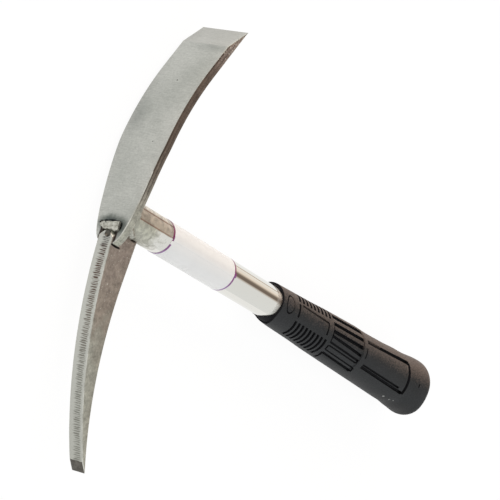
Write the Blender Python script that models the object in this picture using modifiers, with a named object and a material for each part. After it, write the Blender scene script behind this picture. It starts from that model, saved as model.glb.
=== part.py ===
"""A hand pick with an adze: two steel plates welded to a tube handle with a moulded rubber grip.

Metres, +Z up. The tool lies on its side, as on a bench. The handle runs along +X, away from the
head, the adze plate reaches to +Y and the pick plate to -Y. The head and the handle share one
middle plane, which is level, so a plate's width or thickness runs along Z.

Every piece is modelled on the handle's axis, with X = 0 at the back face of the adze plate, and is
a child of the empty that stands there. The world's origin is the middle of the tool's outline, on
the surface that it lies on.
"""
import math

import bmesh
import bpy
from mathutils import Vector

# Fits between pieces
SEAT_GAP = 0.0003            # between pieces that are welded or rest on each other
LABEL_GAP = 0.00015          # glue under the label

# Whole tool
OVERALL_LENGTH = 0.370       # front of the pick to the end of the grip

# Handle tube
TUBE_DIAMETER = 0.0222
TUBE_WALL = 0.0015

# Label wrapped round the tube
LABEL_START = 0.0385         # bare tube between the adze and the label
LABEL_TO_GRIP = 0.0551       # bare tube between the label and the grip
LABEL_THICKNESS = 0.00015

# Adze plate: straight at the foot, then bent towards the handle, with an edge ground on the outside
ADZE_THICKNESS = 0.0064
ADZE_WIDTH = 0.035
ADZE_REACH = 0.1329          # handle axis to the cutting edge
ADZE_ROOT_STRAIGHT = 0.022   # handle axis to the start of the bend
ADZE_EDGE_STRAIGHT = 0.0407  # end of the bend to the cutting edge
ADZE_BEND_ANGLE = math.radians(24.6)
ADZE_EDGE_BEVEL = 0.0205     # length of the ground face
ADZE_EDGE_LAND = 0.0003      # steel left at the cutting edge

# Foot of the adze: it narrows from full width to a forked point astride the pick
FOOT_DEPTH = 0.0198          # handle axis down to the points of the fork
FOOT_TAPER_START = 0.0435    # handle axis up to the place where the sides start to draw in
FOOT_TAPER_LEAN = math.radians(5)
FOOT_TAPER_PULL = 0.020
FOOT_POINT_LEAN = math.radians(68)
FOOT_POINT_PULL = 0.009

# Pick plate: cut from thick plate, curved, deep at the root and thin at the tip
PICK_THICKNESS = 0.0105
PICK_REACH = 0.1494          # handle axis to the tip
PICK_PROUD = 0.0017          # how far its front stands out of the fork
PICK_SWEEP = 0.0496          # how far the tip lies behind the front of the root
PICK_ROOT_DEPTH = 0.0231     # front to rear at the root
PICK_FRONT_LEAN = math.radians(4.2)
PICK_FRONT_TIP_LEAN = math.radians(34)
PICK_REAR_STRAIGHT = 0.024   # straight length of the rear edge below the tube
PICK_REAR_TIP_LEAN = math.radians(26.5)
PICK_TIP_DEPTH = 0.0040      # front to rear across the ground tip
PICK_TIP_FACE = 0.0031       # height of the ground tip
PICK_ROOT_CHAMFER_IN = 0.0008  # how far the root's bevelled corner runs in behind the adze's front

# Welds
RING_WELD_LEG = 0.0024       # along the tube
RING_WELD_RISE = 0.0016      # up the back of the adze
WELD_FULLNESS = 0.62         # share of a fillet's leg and rise at its fullest point
CHEEK_WELD_LENGTH = 0.0068
CHEEK_WELD_RADIUS = 0.0030
CHEEK_WELD_END_RADIUS = 0.0018
CHEEK_WELD_OFF_CHEEK = 0.0016  # pick's cheek to the middle of the weld
CHEEK_WELD_BELOW_TUBE = 0.0005
FRONT_WELD_WIDTH = 0.0150
FRONT_WELD_LOWER_WIDTH = 0.0120
FRONT_WELD_HEIGHT = 0.0044
FRONT_WELD_RISE = 0.0014
FRONT_WELD_LAP = 0.0006      # how far it reaches down past the top of the pick
FRONT_WELD_SIDEWAYS = -0.0014
FRONT_WELD_ROUND = 0.0006

# Grip, from its mouth to its butt: collar, ribbed zone, fluted zone, panel zone and butt
GRIP_MOUTH_WALL = 0.0020
GRIP_TAPER = 0.0297          # growth of the radius along the cone
GRIP_BUTT_SWELL = 0.00167    # how far the butt stands out past the cone
GRIP_END_WALL = 0.0080
GRIP_MOUTH_ROUND = 0.0008
GRIP_BUTT_ROUND = 0.0065
COLLAR_LENGTH = 0.0195
RIB_ZONE_LENGTH = 0.0425
FLUTE_ZONE_LENGTH = 0.0405
PANEL_ZONE_LENGTH = 0.0635
BUTT_LENGTH = 0.0310
BUTT_FULL_LENGTH = 0.0075    # length of the butt at full diameter, its rounded end included

# Ribs moulded round the grip; angles are in degrees, from the top of the handle towards the adze
RIB_PITCH = 0.00465
RIB_FIRST = 0.0006           # start of the zone to the first rib
RIB_LAND = 0.0044            # plain ring between the last rib and the flutes
RIB_HALF_WIDTH = 0.0011
RIB_SWEEP = 0.0043           # how far a rib runs back along the handle on its way round
RIB_SPANS = ((-20, -79), (36, 86))

# Other grooves, each as (distance from an edge of its zone, angle, distance from an edge, angle,
# half width); distances are positive towards the butt
FLUTES = (                   # from the front edge to the back edge
    (0.0006, 53.5, -0.0008, 53.5, 0.0018),
    (0.0002, 29.5, -0.0012, 29.5, 0.0013),
    (0.0002, 9.5, -0.0012, 9.5, 0.0013),
    (0.0006, -3.0, -0.0012, -9.5, 0.0009),
    (0.0014, -19.5, -0.0008, -24.0, 0.0006),
    (0.0030, -28.5, -0.0015, -31.5, 0.0005),
    (0.0034, -43.0, 0.0005, -46.0, 0.0005),
    (0.0044, -54.5, 0.0015, -57.5, 0.0009),
)
FLUTE_FRONT_STEPS = (        # round the handle, along the front edge
    (-0.0004, 48.0, 0.0012, -19.0, 0.0006),
    (0.0022, -28.5, 0.0028, -43.0, 0.0009),
    (0.0038, -54.0, 0.0080, -86.0, 0.0011),
)
FLUTE_BACK_STEPS = (         # round the handle, along the back edge
    (-0.0008, 30.0, -0.0008, 10.0, 0.0005),
    (-0.0019, -22.5, -0.0015, -32.0, 0.0009),
    (0.0008, -45.5, 0.0023, -58.0, 0.0010),
)
PANEL_SIDES = (              # from the front edge to the back edge
    (0.0042, 31.0, -0.0027, 35.5, 0.0011),
    (0.0058, -32.0, 0.0005, -35.0, 0.0008),
    (0.0058, -25.5, -0.0067, -27.5, 0.0006),
)
PANEL_END = (                # round the handle, along the back edge
    (-0.0027, 36.5, 0.0005, -36.0, 0.0011),
)
GROOVE_LIFT = 0.15           # share of a groove's half width that its middle stands above the rubber

# Facets
ROUND_STEPS = 56
ARC_STEPS = 10
BUTT_STEPS = 5
CHEEK_WELD_STEPS = 3
GROOVE_FACET = 10            # degrees round the grip in one facet of a groove
PLATE_ARRIS = 0.0004         # broken edges of the plates
FULL_TURN = 2 * math.pi

# Places that follow from the sizes above
TUBE_RADIUS = TUBE_DIAMETER / 2
ADZE_FRONT_X = -ADZE_THICKNESS
PICK_FRONT_X = ADZE_FRONT_X - PICK_PROUD
PICK_REAR_X = PICK_FRONT_X + PICK_ROOT_DEPTH
ADZE_INNER_RADIUS = (
    (ADZE_REACH - ADZE_ROOT_STRAIGHT - ADZE_EDGE_STRAIGHT * math.cos(ADZE_BEND_ANGLE))
    / math.sin(ADZE_BEND_ANGLE)
)
PICK_TOP_Y = -(TUBE_RADIUS + SEAT_GAP)
PICK_CHAMFER = PICK_PROUD + PICK_ROOT_CHAMFER_IN
FORK_HALF_GAP = PICK_THICKNESS / 2 + SEAT_GAP
FORK_TOP_Y = PICK_TOP_Y + SEAT_GAP
GRIP_LENGTH = COLLAR_LENGTH + RIB_ZONE_LENGTH + FLUTE_ZONE_LENGTH + PANEL_ZONE_LENGTH + BUTT_LENGTH
GRIP_END_X = PICK_FRONT_X + OVERALL_LENGTH
GRIP_MOUTH_X = GRIP_END_X - GRIP_LENGTH
RIB_ZONE_X = GRIP_MOUTH_X + COLLAR_LENGTH
FLUTE_ZONE_X = RIB_ZONE_X + RIB_ZONE_LENGTH
PANEL_ZONE_X = FLUTE_ZONE_X + FLUTE_ZONE_LENGTH
BUTT_X = PANEL_ZONE_X + PANEL_ZONE_LENGTH
LABEL_END_X = GRIP_MOUTH_X - LABEL_TO_GRIP
BORE_RADIUS = TUBE_RADIUS + SEAT_GAP
MOUTH_RADIUS = BORE_RADIUS + GRIP_MOUTH_WALL
BORE_END_X = GRIP_END_X - GRIP_END_WALL
TUBE_START_X = SEAT_GAP
TUBE_END_X = BORE_END_X - SEAT_GAP
BUTT_FULL_X = GRIP_END_X - BUTT_FULL_LENGTH
CONE_END_RADIUS = MOUTH_RADIUS + GRIP_TAPER * (BUTT_X - GRIP_MOUTH_X)
BUTT_RADIUS = CONE_END_RADIUS + GRIP_BUTT_SWELL
AXIS_HEIGHT = max(BUTT_RADIUS, ADZE_WIDTH / 2)


def clear_scene():
    for old in list(bpy.data.objects):
        bpy.data.objects.remove(old, do_unlink=True)


def new_collection(name):
    group = bpy.data.collections.new(name)
    bpy.context.scene.collection.children.link(group)
    return group


def material(name, colour, roughness, metallic):
    finish = bpy.data.materials.new(name)
    finish.use_nodes = True
    shader = finish.node_tree.nodes["Principled BSDF"]
    shader.inputs["Base Color"].default_value = (*colour, 1.0)
    shader.inputs["Roughness"].default_value = roughness
    shader.inputs["Metallic"].default_value = metallic
    return finish


def add_object(name, data, group, parent):
    thing = bpy.data.objects.new(name, data)
    group.objects.link(thing)
    thing.parent = parent
    return thing


def mark_as_cutter(thing):
    thing.hide_render = True
    thing.display_type = "WIRE"


def mesh_from_curve(thing):
    """Turns a filled curve object into a closed mesh object with the same name and place."""
    bpy.context.view_layer.update()
    seen = thing.evaluated_get(bpy.context.evaluated_depsgraph_get())
    mesh = bpy.data.meshes.new_from_object(seen)
    weld_doubles(mesh)
    name, group, parent = thing.name, thing.users_collection[0], thing.parent
    place = thing.matrix_basis.copy()
    bpy.data.objects.remove(thing, do_unlink=True)
    solid = add_object(name, mesh, group, parent)
    solid.matrix_basis = place
    return solid


def weld_doubles(mesh):
    shape = bmesh.new()
    shape.from_mesh(mesh)
    bmesh.ops.remove_doubles(shape, verts=shape.verts, dist=1e-6)
    bmesh.ops.recalc_face_normals(shape, faces=shape.faces)
    shape.to_mesh(mesh)
    shape.free()


def boolean(target, tool, operation="DIFFERENCE"):
    step = target.modifiers.new(operation.lower(), "BOOLEAN")
    step.operation = operation
    step.object = tool


def break_edges(plate):
    bevel = plate.modifiers.new("broken edges", "BEVEL")
    bevel.width = PLATE_ARRIS
    bevel.segments = 1
    bevel.limit_method = "ANGLE"
    bevel.angle_limit = math.radians(40)


class Outline:
    """A closed flat outline of straight and curved stretches, kept as Bezier knots."""

    def __init__(self, *start):
        self.knots = [[Vector(start), None, None]]

    def line_to(self, *place):
        self.knots.append([Vector(place), None, None])

    def curve_to(self, place, leaving, arriving):
        """Adds a curve whose handles are these two steps from its ends."""
        end = Vector(place)
        self.knots[-1][2] = self.knots[-1][0] + Vector(leaving)
        self.knots.append([end, end - Vector(arriving), None])

    def arc_to(self, place, leaving, arriving):
        """Adds a curve close to a circle's arc, from one direction to another, in radians."""
        end = Vector(place)
        chord = (end - self.knots[-1][0]).length
        pull = chord / (3 * math.cos((arriving - leaving) / 4) ** 2)
        self.curve_to(place, direction(leaving, pull), direction(arriving, pull))

    def to_spline(self, curve):
        spline = curve.splines.new("BEZIER")
        spline.bezier_points.add(len(self.knots) - 1)
        spline.use_cyclic_u = True
        for index, (place, before, after) in enumerate(self.knots):
            last = self.knots[index - 1][0]
            following = self.knots[(index + 1) % len(self.knots)][0]
            knot = spline.bezier_points[index]
            knot.handle_left_type = "FREE" if before else "VECTOR"
            knot.handle_right_type = "FREE" if after else "VECTOR"
            knot.co = (*place, 0)
            knot.handle_left = (*(before or place.lerp(last, 1 / 3)), 0)
            knot.handle_right = (*(after or place.lerp(following, 1 / 3)), 0)


def direction(angle, length=1.0):
    return Vector((math.cos(angle) * length, math.sin(angle) * length))


def flat_plate(name, outline, half_thickness, group, parent):
    """A plate cut to an outline in its own XY plane, as thick on each side of that plane."""
    curve = bpy.data.curves.new(name, "CURVE")
    curve.dimensions = "2D"
    curve.fill_mode = "BOTH"
    curve.extrude = half_thickness
    curve.resolution_u = ARC_STEPS
    outline.to_spline(curve)
    return mesh_from_curve(add_object(name, curve, group, parent))


def turned(name, profile, group, parent, closed):
    """A shape turned about X from (place along X, radius) points, the outer side from +X to -X."""
    mesh = bpy.data.meshes.new(name)
    points = [(along, 0.0, radius) for along, radius in profile]
    links = [(index, index + 1) for index in range(len(points) - 1)]
    if closed:
        links.append((len(points) - 1, 0))
    mesh.from_pydata(points, links, [])
    thing = add_object(name, mesh, group, parent)
    screw = thing.modifiers.new("turned", "SCREW")
    screw.axis = "X"
    screw.angle = FULL_TURN
    screw.steps = ROUND_STEPS
    screw.render_steps = ROUND_STEPS
    screw.use_merge_vertices = True
    screw.merge_threshold = 1e-5
    screw.use_smooth_shade = True
    return thing


def box(name, low, high, group, parent):
    """A box between two corners, with its size in its mesh."""
    mesh = bpy.data.meshes.new(name)
    shape = bmesh.new()
    bmesh.ops.create_cube(shape, size=1.0)
    low, high = Vector(low), Vector(high)
    bmesh.ops.scale(shape, vec=high - low, verts=shape.verts)
    bmesh.ops.translate(shape, vec=(low + high) / 2, verts=shape.verts)
    shape.to_mesh(mesh)
    shape.free()
    return add_object(name, mesh, group, parent)


def adze_side_outline():
    """The adze seen from the side: its thickness, its bend and the ground edge."""
    heading = math.pi / 2 - ADZE_BEND_ANGLE
    along = direction(heading)
    outwards = direction(heading + math.pi / 2)
    bend_end = Vector((
        ADZE_INNER_RADIUS * (1 - math.cos(ADZE_BEND_ANGLE)),
        ADZE_ROOT_STRAIGHT + ADZE_INNER_RADIUS * math.sin(ADZE_BEND_ANGLE),
    ))
    edge = bend_end + along * ADZE_EDGE_STRAIGHT
    ground_length = math.sqrt(ADZE_EDGE_BEVEL ** 2 - ADZE_THICKNESS ** 2)
    outline = Outline(0.0, -FOOT_DEPTH - ADZE_THICKNESS)
    outline.line_to(0.0, ADZE_ROOT_STRAIGHT)
    outline.arc_to(bend_end, math.pi / 2, heading)
    outline.line_to(*edge)
    outline.line_to(*(edge + outwards * ADZE_EDGE_LAND))
    outline.line_to(*(edge - along * ground_length + outwards * ADZE_THICKNESS))
    outline.line_to(*(bend_end + outwards * ADZE_THICKNESS))
    outline.arc_to((ADZE_FRONT_X, ADZE_ROOT_STRAIGHT), heading - math.pi, -math.pi / 2)
    outline.line_to(ADZE_FRONT_X, -FOOT_DEPTH - ADZE_THICKNESS)
    return outline


def adze_front_outline():
    """The adze seen from the front, across its width and along Y: sides, foot and fork."""
    half = ADZE_WIDTH / 2
    top = ADZE_REACH + ADZE_THICKNESS
    taper = Vector((math.sin(FOOT_TAPER_LEAN), math.cos(FOOT_TAPER_LEAN))) * FOOT_TAPER_PULL
    point = Vector((math.sin(FOOT_POINT_LEAN), math.cos(FOOT_POINT_LEAN))) * FOOT_POINT_PULL
    outline = Outline(FORK_HALF_GAP, FORK_TOP_Y)
    outline.line_to(FORK_HALF_GAP, -FOOT_DEPTH)
    outline.curve_to((half, FOOT_TAPER_START), point, taper)
    outline.line_to(half, top)
    outline.line_to(-half, top)
    outline.line_to(-half, FOOT_TAPER_START)
    outline.curve_to((-FORK_HALF_GAP, -FOOT_DEPTH), (taper.x, -taper.y), (point.x, -point.y))
    outline.line_to(-FORK_HALF_GAP, FORK_TOP_Y)
    return outline


def make_adze(group, cutters, parent, finish):
    spare_width = ADZE_WIDTH / 2 + ADZE_THICKNESS
    adze = flat_plate("adze_blade", adze_side_outline(), spare_width, group, parent)
    adze.data.materials.append(finish)
    front = flat_plate("adze_front_shape", adze_front_outline(), ADZE_REACH, cutters, parent)
    front.rotation_euler = (0, math.radians(-90), 0)
    mark_as_cutter(front)
    boolean(adze, front, "INTERSECT")
    break_edges(adze)


def pick_outline():
    """The pick seen from the side, from the front corner of its root down to the tip and back."""
    tip = Vector((PICK_FRONT_X + PICK_SWEEP, -PICK_REACH))
    front_end = tip + Vector((-PICK_TIP_DEPTH, PICK_TIP_FACE))
    rear_bend = (PICK_REAR_X, PICK_TOP_Y - PICK_REAR_STRAIGHT)
    outline = Outline(PICK_FRONT_X, PICK_TOP_Y - PICK_CHAMFER)
    outline.arc_to(front_end, PICK_FRONT_LEAN - math.pi / 2, PICK_FRONT_TIP_LEAN - math.pi / 2)
    outline.line_to(*tip)
    outline.arc_to(rear_bend, PICK_REAR_TIP_LEAN + math.pi / 2, math.pi / 2)
    outline.line_to(PICK_REAR_X, PICK_TOP_Y)
    outline.line_to(PICK_FRONT_X + PICK_CHAMFER, PICK_TOP_Y)
    return outline


def make_pick(group, parent, finish):
    pick = flat_plate("pick_blade", pick_outline(), PICK_THICKNESS / 2, group, parent)
    pick.data.materials.append(finish)
    break_edges(pick)


def make_tube(group, parent, finish):
    inner = TUBE_RADIUS - TUBE_WALL
    profile = (
        (TUBE_END_X, TUBE_RADIUS),
        (TUBE_START_X, TUBE_RADIUS),
        (TUBE_START_X, inner),
        (TUBE_END_X, inner),
    )
    tube = turned("handle_tube", profile, group, parent, closed=True)
    tube.data.materials.append(finish)


def make_label(group, parent, finish):
    inner = TUBE_RADIUS + LABEL_GAP
    outer = inner + LABEL_THICKNESS
    profile = (
        (LABEL_END_X, outer),
        (LABEL_START, outer),
        (LABEL_START, inner),
        (LABEL_END_X, inner),
    )
    label = turned("label", profile, group, parent, closed=True)
    label.data.materials.append(finish)


def grip_radius(along):
    """The grip's outer radius: a slender cone that swells at the butt and is level at its end."""
    if along <= BUTT_X:
        return MOUTH_RADIUS + GRIP_TAPER * (along - GRIP_MOUTH_X)
    run = BUTT_FULL_X - BUTT_X
    share = min(1.0, (along - BUTT_X) / run)
    swell = GRIP_BUTT_SWELL * share ** 2 * (3 - 2 * share)
    return CONE_END_RADIUS + GRIP_TAPER * run * share * (1 - share) ** 2 + swell


def grip_profile():
    """Half of the grip's section, from the middle of the butt to the mouth and back up the bore."""
    round_x = GRIP_END_X - GRIP_BUTT_ROUND
    round_radius = BUTT_RADIUS - GRIP_BUTT_ROUND
    mouth = GRIP_MOUTH_X + GRIP_MOUTH_ROUND
    points = [(GRIP_END_X, 0.0)]
    for step in range(BUTT_STEPS + 1):
        corner = direction(math.pi / 2 * step / BUTT_STEPS, GRIP_BUTT_ROUND)
        points.append((round_x + corner.x, round_radius + corner.y))
    for step in range(BUTT_STEPS + 1):
        along = BUTT_FULL_X + (BUTT_X - BUTT_FULL_X) * step / BUTT_STEPS
        points.append((along, grip_radius(along)))
    points.append((mouth, grip_radius(mouth)))
    points.append((GRIP_MOUTH_X, MOUTH_RADIUS - GRIP_MOUTH_ROUND))
    points.append((GRIP_MOUTH_X, BORE_RADIUS))
    points.append((BORE_END_X, BORE_RADIUS))
    points.append((BORE_END_X, 0.0))
    return points


def on_grip(along, angle, half_width, side):
    """A point that a groove's middle passes through, on the grip's upper or lower side."""
    radius = grip_radius(along) + GROOVE_LIFT * half_width
    return along, math.sin(angle) * radius, side * math.cos(angle) * radius


def groove(curve, side, start, first, end, last, half_width):
    """Adds a round wire along the grip's skin, from one place and angle to another."""
    steps = max(1, round(abs(last - first) / GROOVE_FACET))
    wire = curve.splines.new("POLY")
    wire.points.add(steps)
    for step, point in enumerate(wire.points):
        share = step / steps
        along = start + (end - start) * share
        angle = math.radians(first + (last - first) * share)
        point.co = (*on_grip(along, angle, half_width, side), 1)
        point.radius = half_width / curve.bevel_depth


def ribs():
    count = int((RIB_ZONE_LENGTH - RIB_FIRST - RIB_LAND) / RIB_PITCH) + 1
    for first, last in RIB_SPANS:
        for index in range(count):
            start = RIB_ZONE_X + RIB_FIRST + index * RIB_PITCH
            yield start, first, start + RIB_SWEEP, last, RIB_HALF_WIDTH


def between(start_edge, end_edge, pattern):
    """The grooves of a pattern whose distances count from these two places along the handle."""
    for start, first, end, last, half_width in pattern:
        yield start_edge + start, first, end_edge + end, last, half_width


def make_grip(group, cutters, parent, finish):
    grip = turned("grip", grip_profile(), group, parent, closed=False)
    grip.data.materials.append(finish)
    patterns = {
        "ribs": ribs(),
        "flutes": between(FLUTE_ZONE_X, PANEL_ZONE_X, FLUTES),
        "flute_front_steps": between(FLUTE_ZONE_X, FLUTE_ZONE_X, FLUTE_FRONT_STEPS),
        "flute_back_steps": between(PANEL_ZONE_X, PANEL_ZONE_X, FLUTE_BACK_STEPS),
        "panel_sides": between(PANEL_ZONE_X, BUTT_X, PANEL_SIDES),
        "panel_end": between(BUTT_X, BUTT_X, PANEL_END),
    }
    for name, grooves in patterns.items():
        curve = bpy.data.curves.new(name, "CURVE")
        curve.dimensions = "3D"
        curve.bevel_depth = RIB_HALF_WIDTH
        curve.bevel_resolution = 1
        curve.use_fill_caps = True
        for each in grooves:
            for side in (1, -1):
                groove(curve, side, *each)
        tool = mesh_from_curve(add_object(name, curve, cutters, parent))
        mark_as_cutter(tool)
        boolean(grip, tool)


def make_tube_weld(group, cutters, parent, finish):
    """A fillet between the tube's end and the back of the adze, open where the pick passes."""
    seat = TUBE_RADIUS + SEAT_GAP
    profile = (
        (TUBE_START_X + RING_WELD_LEG, seat),
        (TUBE_START_X + RING_WELD_LEG * WELD_FULLNESS, seat + RING_WELD_RISE * WELD_FULLNESS),
        (TUBE_START_X, seat + RING_WELD_RISE),
        (TUBE_START_X, seat),
    )
    weld = turned("tube_weld", profile, group, parent, closed=True)
    weld.data.materials.append(finish)
    passage = box(
        "pick_passage",
        (-TUBE_DIAMETER, -TUBE_DIAMETER, -FORK_HALF_GAP),
        (TUBE_DIAMETER, -TUBE_RADIUS / 2, FORK_HALF_GAP),
        cutters,
        parent,
    )
    mark_as_cutter(passage)
    boolean(weld, passage)


def make_cheek_weld(name, side, seats, group, parent, finish):
    """A tapering run in the corner between the tube and one flat side of the pick."""
    curve = bpy.data.curves.new(name, "CURVE")
    curve.dimensions = "3D"
    curve.bevel_depth = CHEEK_WELD_RADIUS
    curve.bevel_resolution = 3
    curve.use_fill_caps = True
    run = curve.splines.new("POLY")
    run.points.add(CHEEK_WELD_STEPS)
    start = TUBE_START_X + RING_WELD_LEG + SEAT_GAP
    for step, point in enumerate(run.points):
        share = step / CHEEK_WELD_STEPS
        radius = CHEEK_WELD_RADIUS + (CHEEK_WELD_END_RADIUS - CHEEK_WELD_RADIUS) * share ** 2
        along = start + CHEEK_WELD_LENGTH * share
        below = -(TUBE_RADIUS + CHEEK_WELD_BELOW_TUBE)
        point.co = (along, below, side * (PICK_THICKNESS / 2 + CHEEK_WELD_OFF_CHEEK), 1)
        point.radius = radius / CHEEK_WELD_RADIUS
    weld = mesh_from_curve(add_object(name, curve, group, parent))
    weld.data.materials.append(finish)
    for seat in seats:
        boolean(weld, seat)


def make_cheek_welds(group, cutters, parent, finish):
    seat = TUBE_RADIUS + SEAT_GAP
    end = 2 * (RING_WELD_LEG + CHEEK_WELD_LENGTH)
    profile = ((end, 0.0), (end, seat), (-end, seat), (-end, 0.0))
    tube_seat = turned("tube_seat", profile, cutters, parent, closed=False)
    pick_seat = box(
        "pick_seat",
        (-end, -2 * TUBE_DIAMETER, -FORK_HALF_GAP),
        (end, 0.0, FORK_HALF_GAP),
        cutters,
        parent,
    )
    for tool in (tube_seat, pick_seat):
        mark_as_cutter(tool)
    for name, side in (("cheek_weld_upper", 1), ("cheek_weld_lower", -1)):
        make_cheek_weld(name, side, (tube_seat, pick_seat), group, parent, finish)


def make_front_weld(group, parent, finish):
    """The pad of weld that closes the fork above the pick, wider along its upper edge."""
    back = ADZE_FRONT_X - SEAT_GAP
    bottom = PICK_TOP_Y - FRONT_WELD_LAP
    half = FRONT_WELD_WIDTH / 2
    low = (back - FRONT_WELD_RISE, bottom, -half)
    high = (back, bottom + FRONT_WELD_HEIGHT, half)
    weld = box("front_weld", low, high, group, parent)
    for corner in weld.data.vertices:
        if corner.co.y < bottom + FRONT_WELD_HEIGHT / 2:
            corner.co.z *= FRONT_WELD_LOWER_WIDTH / FRONT_WELD_WIDTH
        corner.co.z += FRONT_WELD_SIDEWAYS
    weld.data.materials.append(finish)
    bevel = weld.modifiers.new("rounded", "BEVEL")
    bevel.width = FRONT_WELD_ROUND
    bevel.segments = 3
    bevel.limit_method = "NONE"


def main():
    clear_scene()
    group = new_collection("hand_pick")
    cutters = new_collection("cutters")

    axis = bpy.data.objects.new("handle_axis", None)
    group.objects.link(axis)
    axis.location = (
        -(PICK_FRONT_X + GRIP_END_X) / 2,
        -(ADZE_REACH - PICK_REACH) / 2,
        AXIS_HEIGHT,
    )

    ground_steel = material("ground_steel", (0.43, 0.44, 0.41), 0.38, 1.0)
    cut_steel = material("flame_cut_steel", (0.27, 0.25, 0.21), 0.55, 1.0)
    polished_steel = material("polished_stainless", (0.78, 0.77, 0.74), 0.12, 1.0)
    weld_steel = material("weld_steel", (0.40, 0.40, 0.37), 0.42, 1.0)
    film = material("label_film", (0.79, 0.80, 0.79), 0.35, 0.0)
    rubber = material("rubber", (0.047, 0.051, 0.052), 0.62, 0.0)

    make_adze(group, cutters, axis, ground_steel)
    make_pick(group, axis, cut_steel)
    make_tube(group, axis, polished_steel)
    make_label(group, axis, film)
    make_grip(group, cutters, axis, rubber)
    make_tube_weld(group, cutters, axis, weld_steel)
    make_cheek_welds(group, cutters, axis, weld_steel)
    make_front_weld(group, axis, weld_steel)


main()
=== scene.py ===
# %% [markdown]
# # A hand pick with an adze
#
# The tool has a broad adze plate and a curved pick plate, both welded to the end of a
# polished tube. A label is wrapped round the tube, and a moulded rubber grip is pressed
# over its other end. The lesson starts from a measured model of the tool, which gives
# every piece its size and place, and gives each piece its real shape and surface.
# Lengths are in metres. The tool lies on its side, its handle along +X, the adze
# towards +Y and the pick towards -Y.

# %% The measured model
import math
from functools import partial

import bmesh
import bpy
from mathutils import Matrix, Vector


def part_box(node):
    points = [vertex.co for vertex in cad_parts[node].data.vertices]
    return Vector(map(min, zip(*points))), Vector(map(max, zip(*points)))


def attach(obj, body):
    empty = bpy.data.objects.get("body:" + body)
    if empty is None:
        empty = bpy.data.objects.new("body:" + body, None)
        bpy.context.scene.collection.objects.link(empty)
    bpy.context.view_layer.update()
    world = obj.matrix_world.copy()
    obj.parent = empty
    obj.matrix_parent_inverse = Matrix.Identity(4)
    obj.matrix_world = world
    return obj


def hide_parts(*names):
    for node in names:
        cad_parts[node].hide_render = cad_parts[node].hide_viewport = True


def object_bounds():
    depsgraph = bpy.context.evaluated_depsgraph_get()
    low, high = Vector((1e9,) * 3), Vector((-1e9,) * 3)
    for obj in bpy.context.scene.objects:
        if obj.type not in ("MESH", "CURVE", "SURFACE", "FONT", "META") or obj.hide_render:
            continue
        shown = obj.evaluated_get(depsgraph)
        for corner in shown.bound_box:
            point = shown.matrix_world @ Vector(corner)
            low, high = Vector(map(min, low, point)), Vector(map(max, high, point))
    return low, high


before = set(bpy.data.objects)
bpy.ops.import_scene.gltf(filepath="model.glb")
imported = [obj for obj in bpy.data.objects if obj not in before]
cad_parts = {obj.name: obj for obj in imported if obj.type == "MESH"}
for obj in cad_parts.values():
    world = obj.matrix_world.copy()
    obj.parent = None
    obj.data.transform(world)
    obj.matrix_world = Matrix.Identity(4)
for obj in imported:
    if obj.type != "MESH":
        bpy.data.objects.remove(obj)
cad_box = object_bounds()
print("pieces in the measured model:", ", ".join(sorted(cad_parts)))

# %% [markdown]
# Every size below is counted from one point, as on a workshop drawing: the place where
# the handle's axis meets the back face of the adze. The measured tube gives that point,
# because its end stands a hair behind the adze.

# %% The point that sizes are counted from
MM = 0.001
SEAT_GAP = 0.3 * MM
tube_low, tube_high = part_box("handle_tube")
ORIGIN = Vector((tube_low.x - SEAT_GAP, (tube_low.y + tube_high.y) / 2, (tube_low.z + tube_high.z) / 2))
TUBE_RADIUS = (tube_high.y - tube_low.y) / 2
print("origin of the sizes:", [round(value / MM, 2) for value in ORIGIN], "mm")


def place(x, y=0.0, z=0.0):
    """A point given in millimetres from the origin of the sizes."""
    return ORIGIN + Vector((x, y, z)) * MM


def round_axis(x, radius, angle):
    """A point at a radius in millimetres and an angle in degrees, from the top towards the adze."""
    turned = math.radians(angle)
    return place(x, radius * math.sin(turned), radius * math.cos(turned))


# %% [markdown]
# The camera stands in front of the head and a little above it, so that the handle
# runs away from it. It is turned on its side as well, which stands the tool upright in
# the picture. A long lens from a metre and a half keeps the perspective gentle.

# %% The camera
camera_data = bpy.data.cameras.new("camera")
camera_data.lens = 162.1
camera_data.sensor_width = 36.0
camera = bpy.data.objects.new("camera", camera_data)
bpy.context.scene.collection.objects.link(camera)
camera.matrix_world = Matrix((
    (0.51869, -0.33011, -0.78866, -1.17479),
    (0.32198, 0.92996, -0.17749, -0.22247),
    (0.79201, -0.16187, 0.58865, 0.86175),
    (0.0, 0.0, 0.0, 1.0),
))
bpy.context.scene.camera = camera
bpy.context.scene.view_settings.view_transform = "Standard"
print("camera to origin:", round((camera.location - ORIGIN).length, 3), "m")

# %% [markdown]
# A material is a small network of nodes. One helper adds a node and fills its inputs,
# and another turns a colour as a painter writes it into the linear light that the
# renderer counts in.

# %% Helpers for materials
def linear(code):
    """Turns an sRGB hex colour into linear light."""
    parts = [int(code[i:i + 2], 16) / 255 for i in (1, 3, 5)]
    parts = [part / 12.92 if part <= 0.04045 else ((part + 0.055) / 1.055) ** 2.4 for part in parts]
    return parts + [1.0]


def feed(target, inputs):
    """Gives inputs of a node a value or a link. A node as a value means its first output in use."""
    for name, value in inputs.items():
        if isinstance(value, bpy.types.Node):
            value = next(output for output in value.outputs if output.enabled)
        if isinstance(value, bpy.types.NodeSocket):
            target.id_data.links.new(value, target.inputs[name])
        else:
            target.inputs[name].default_value = value


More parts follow.
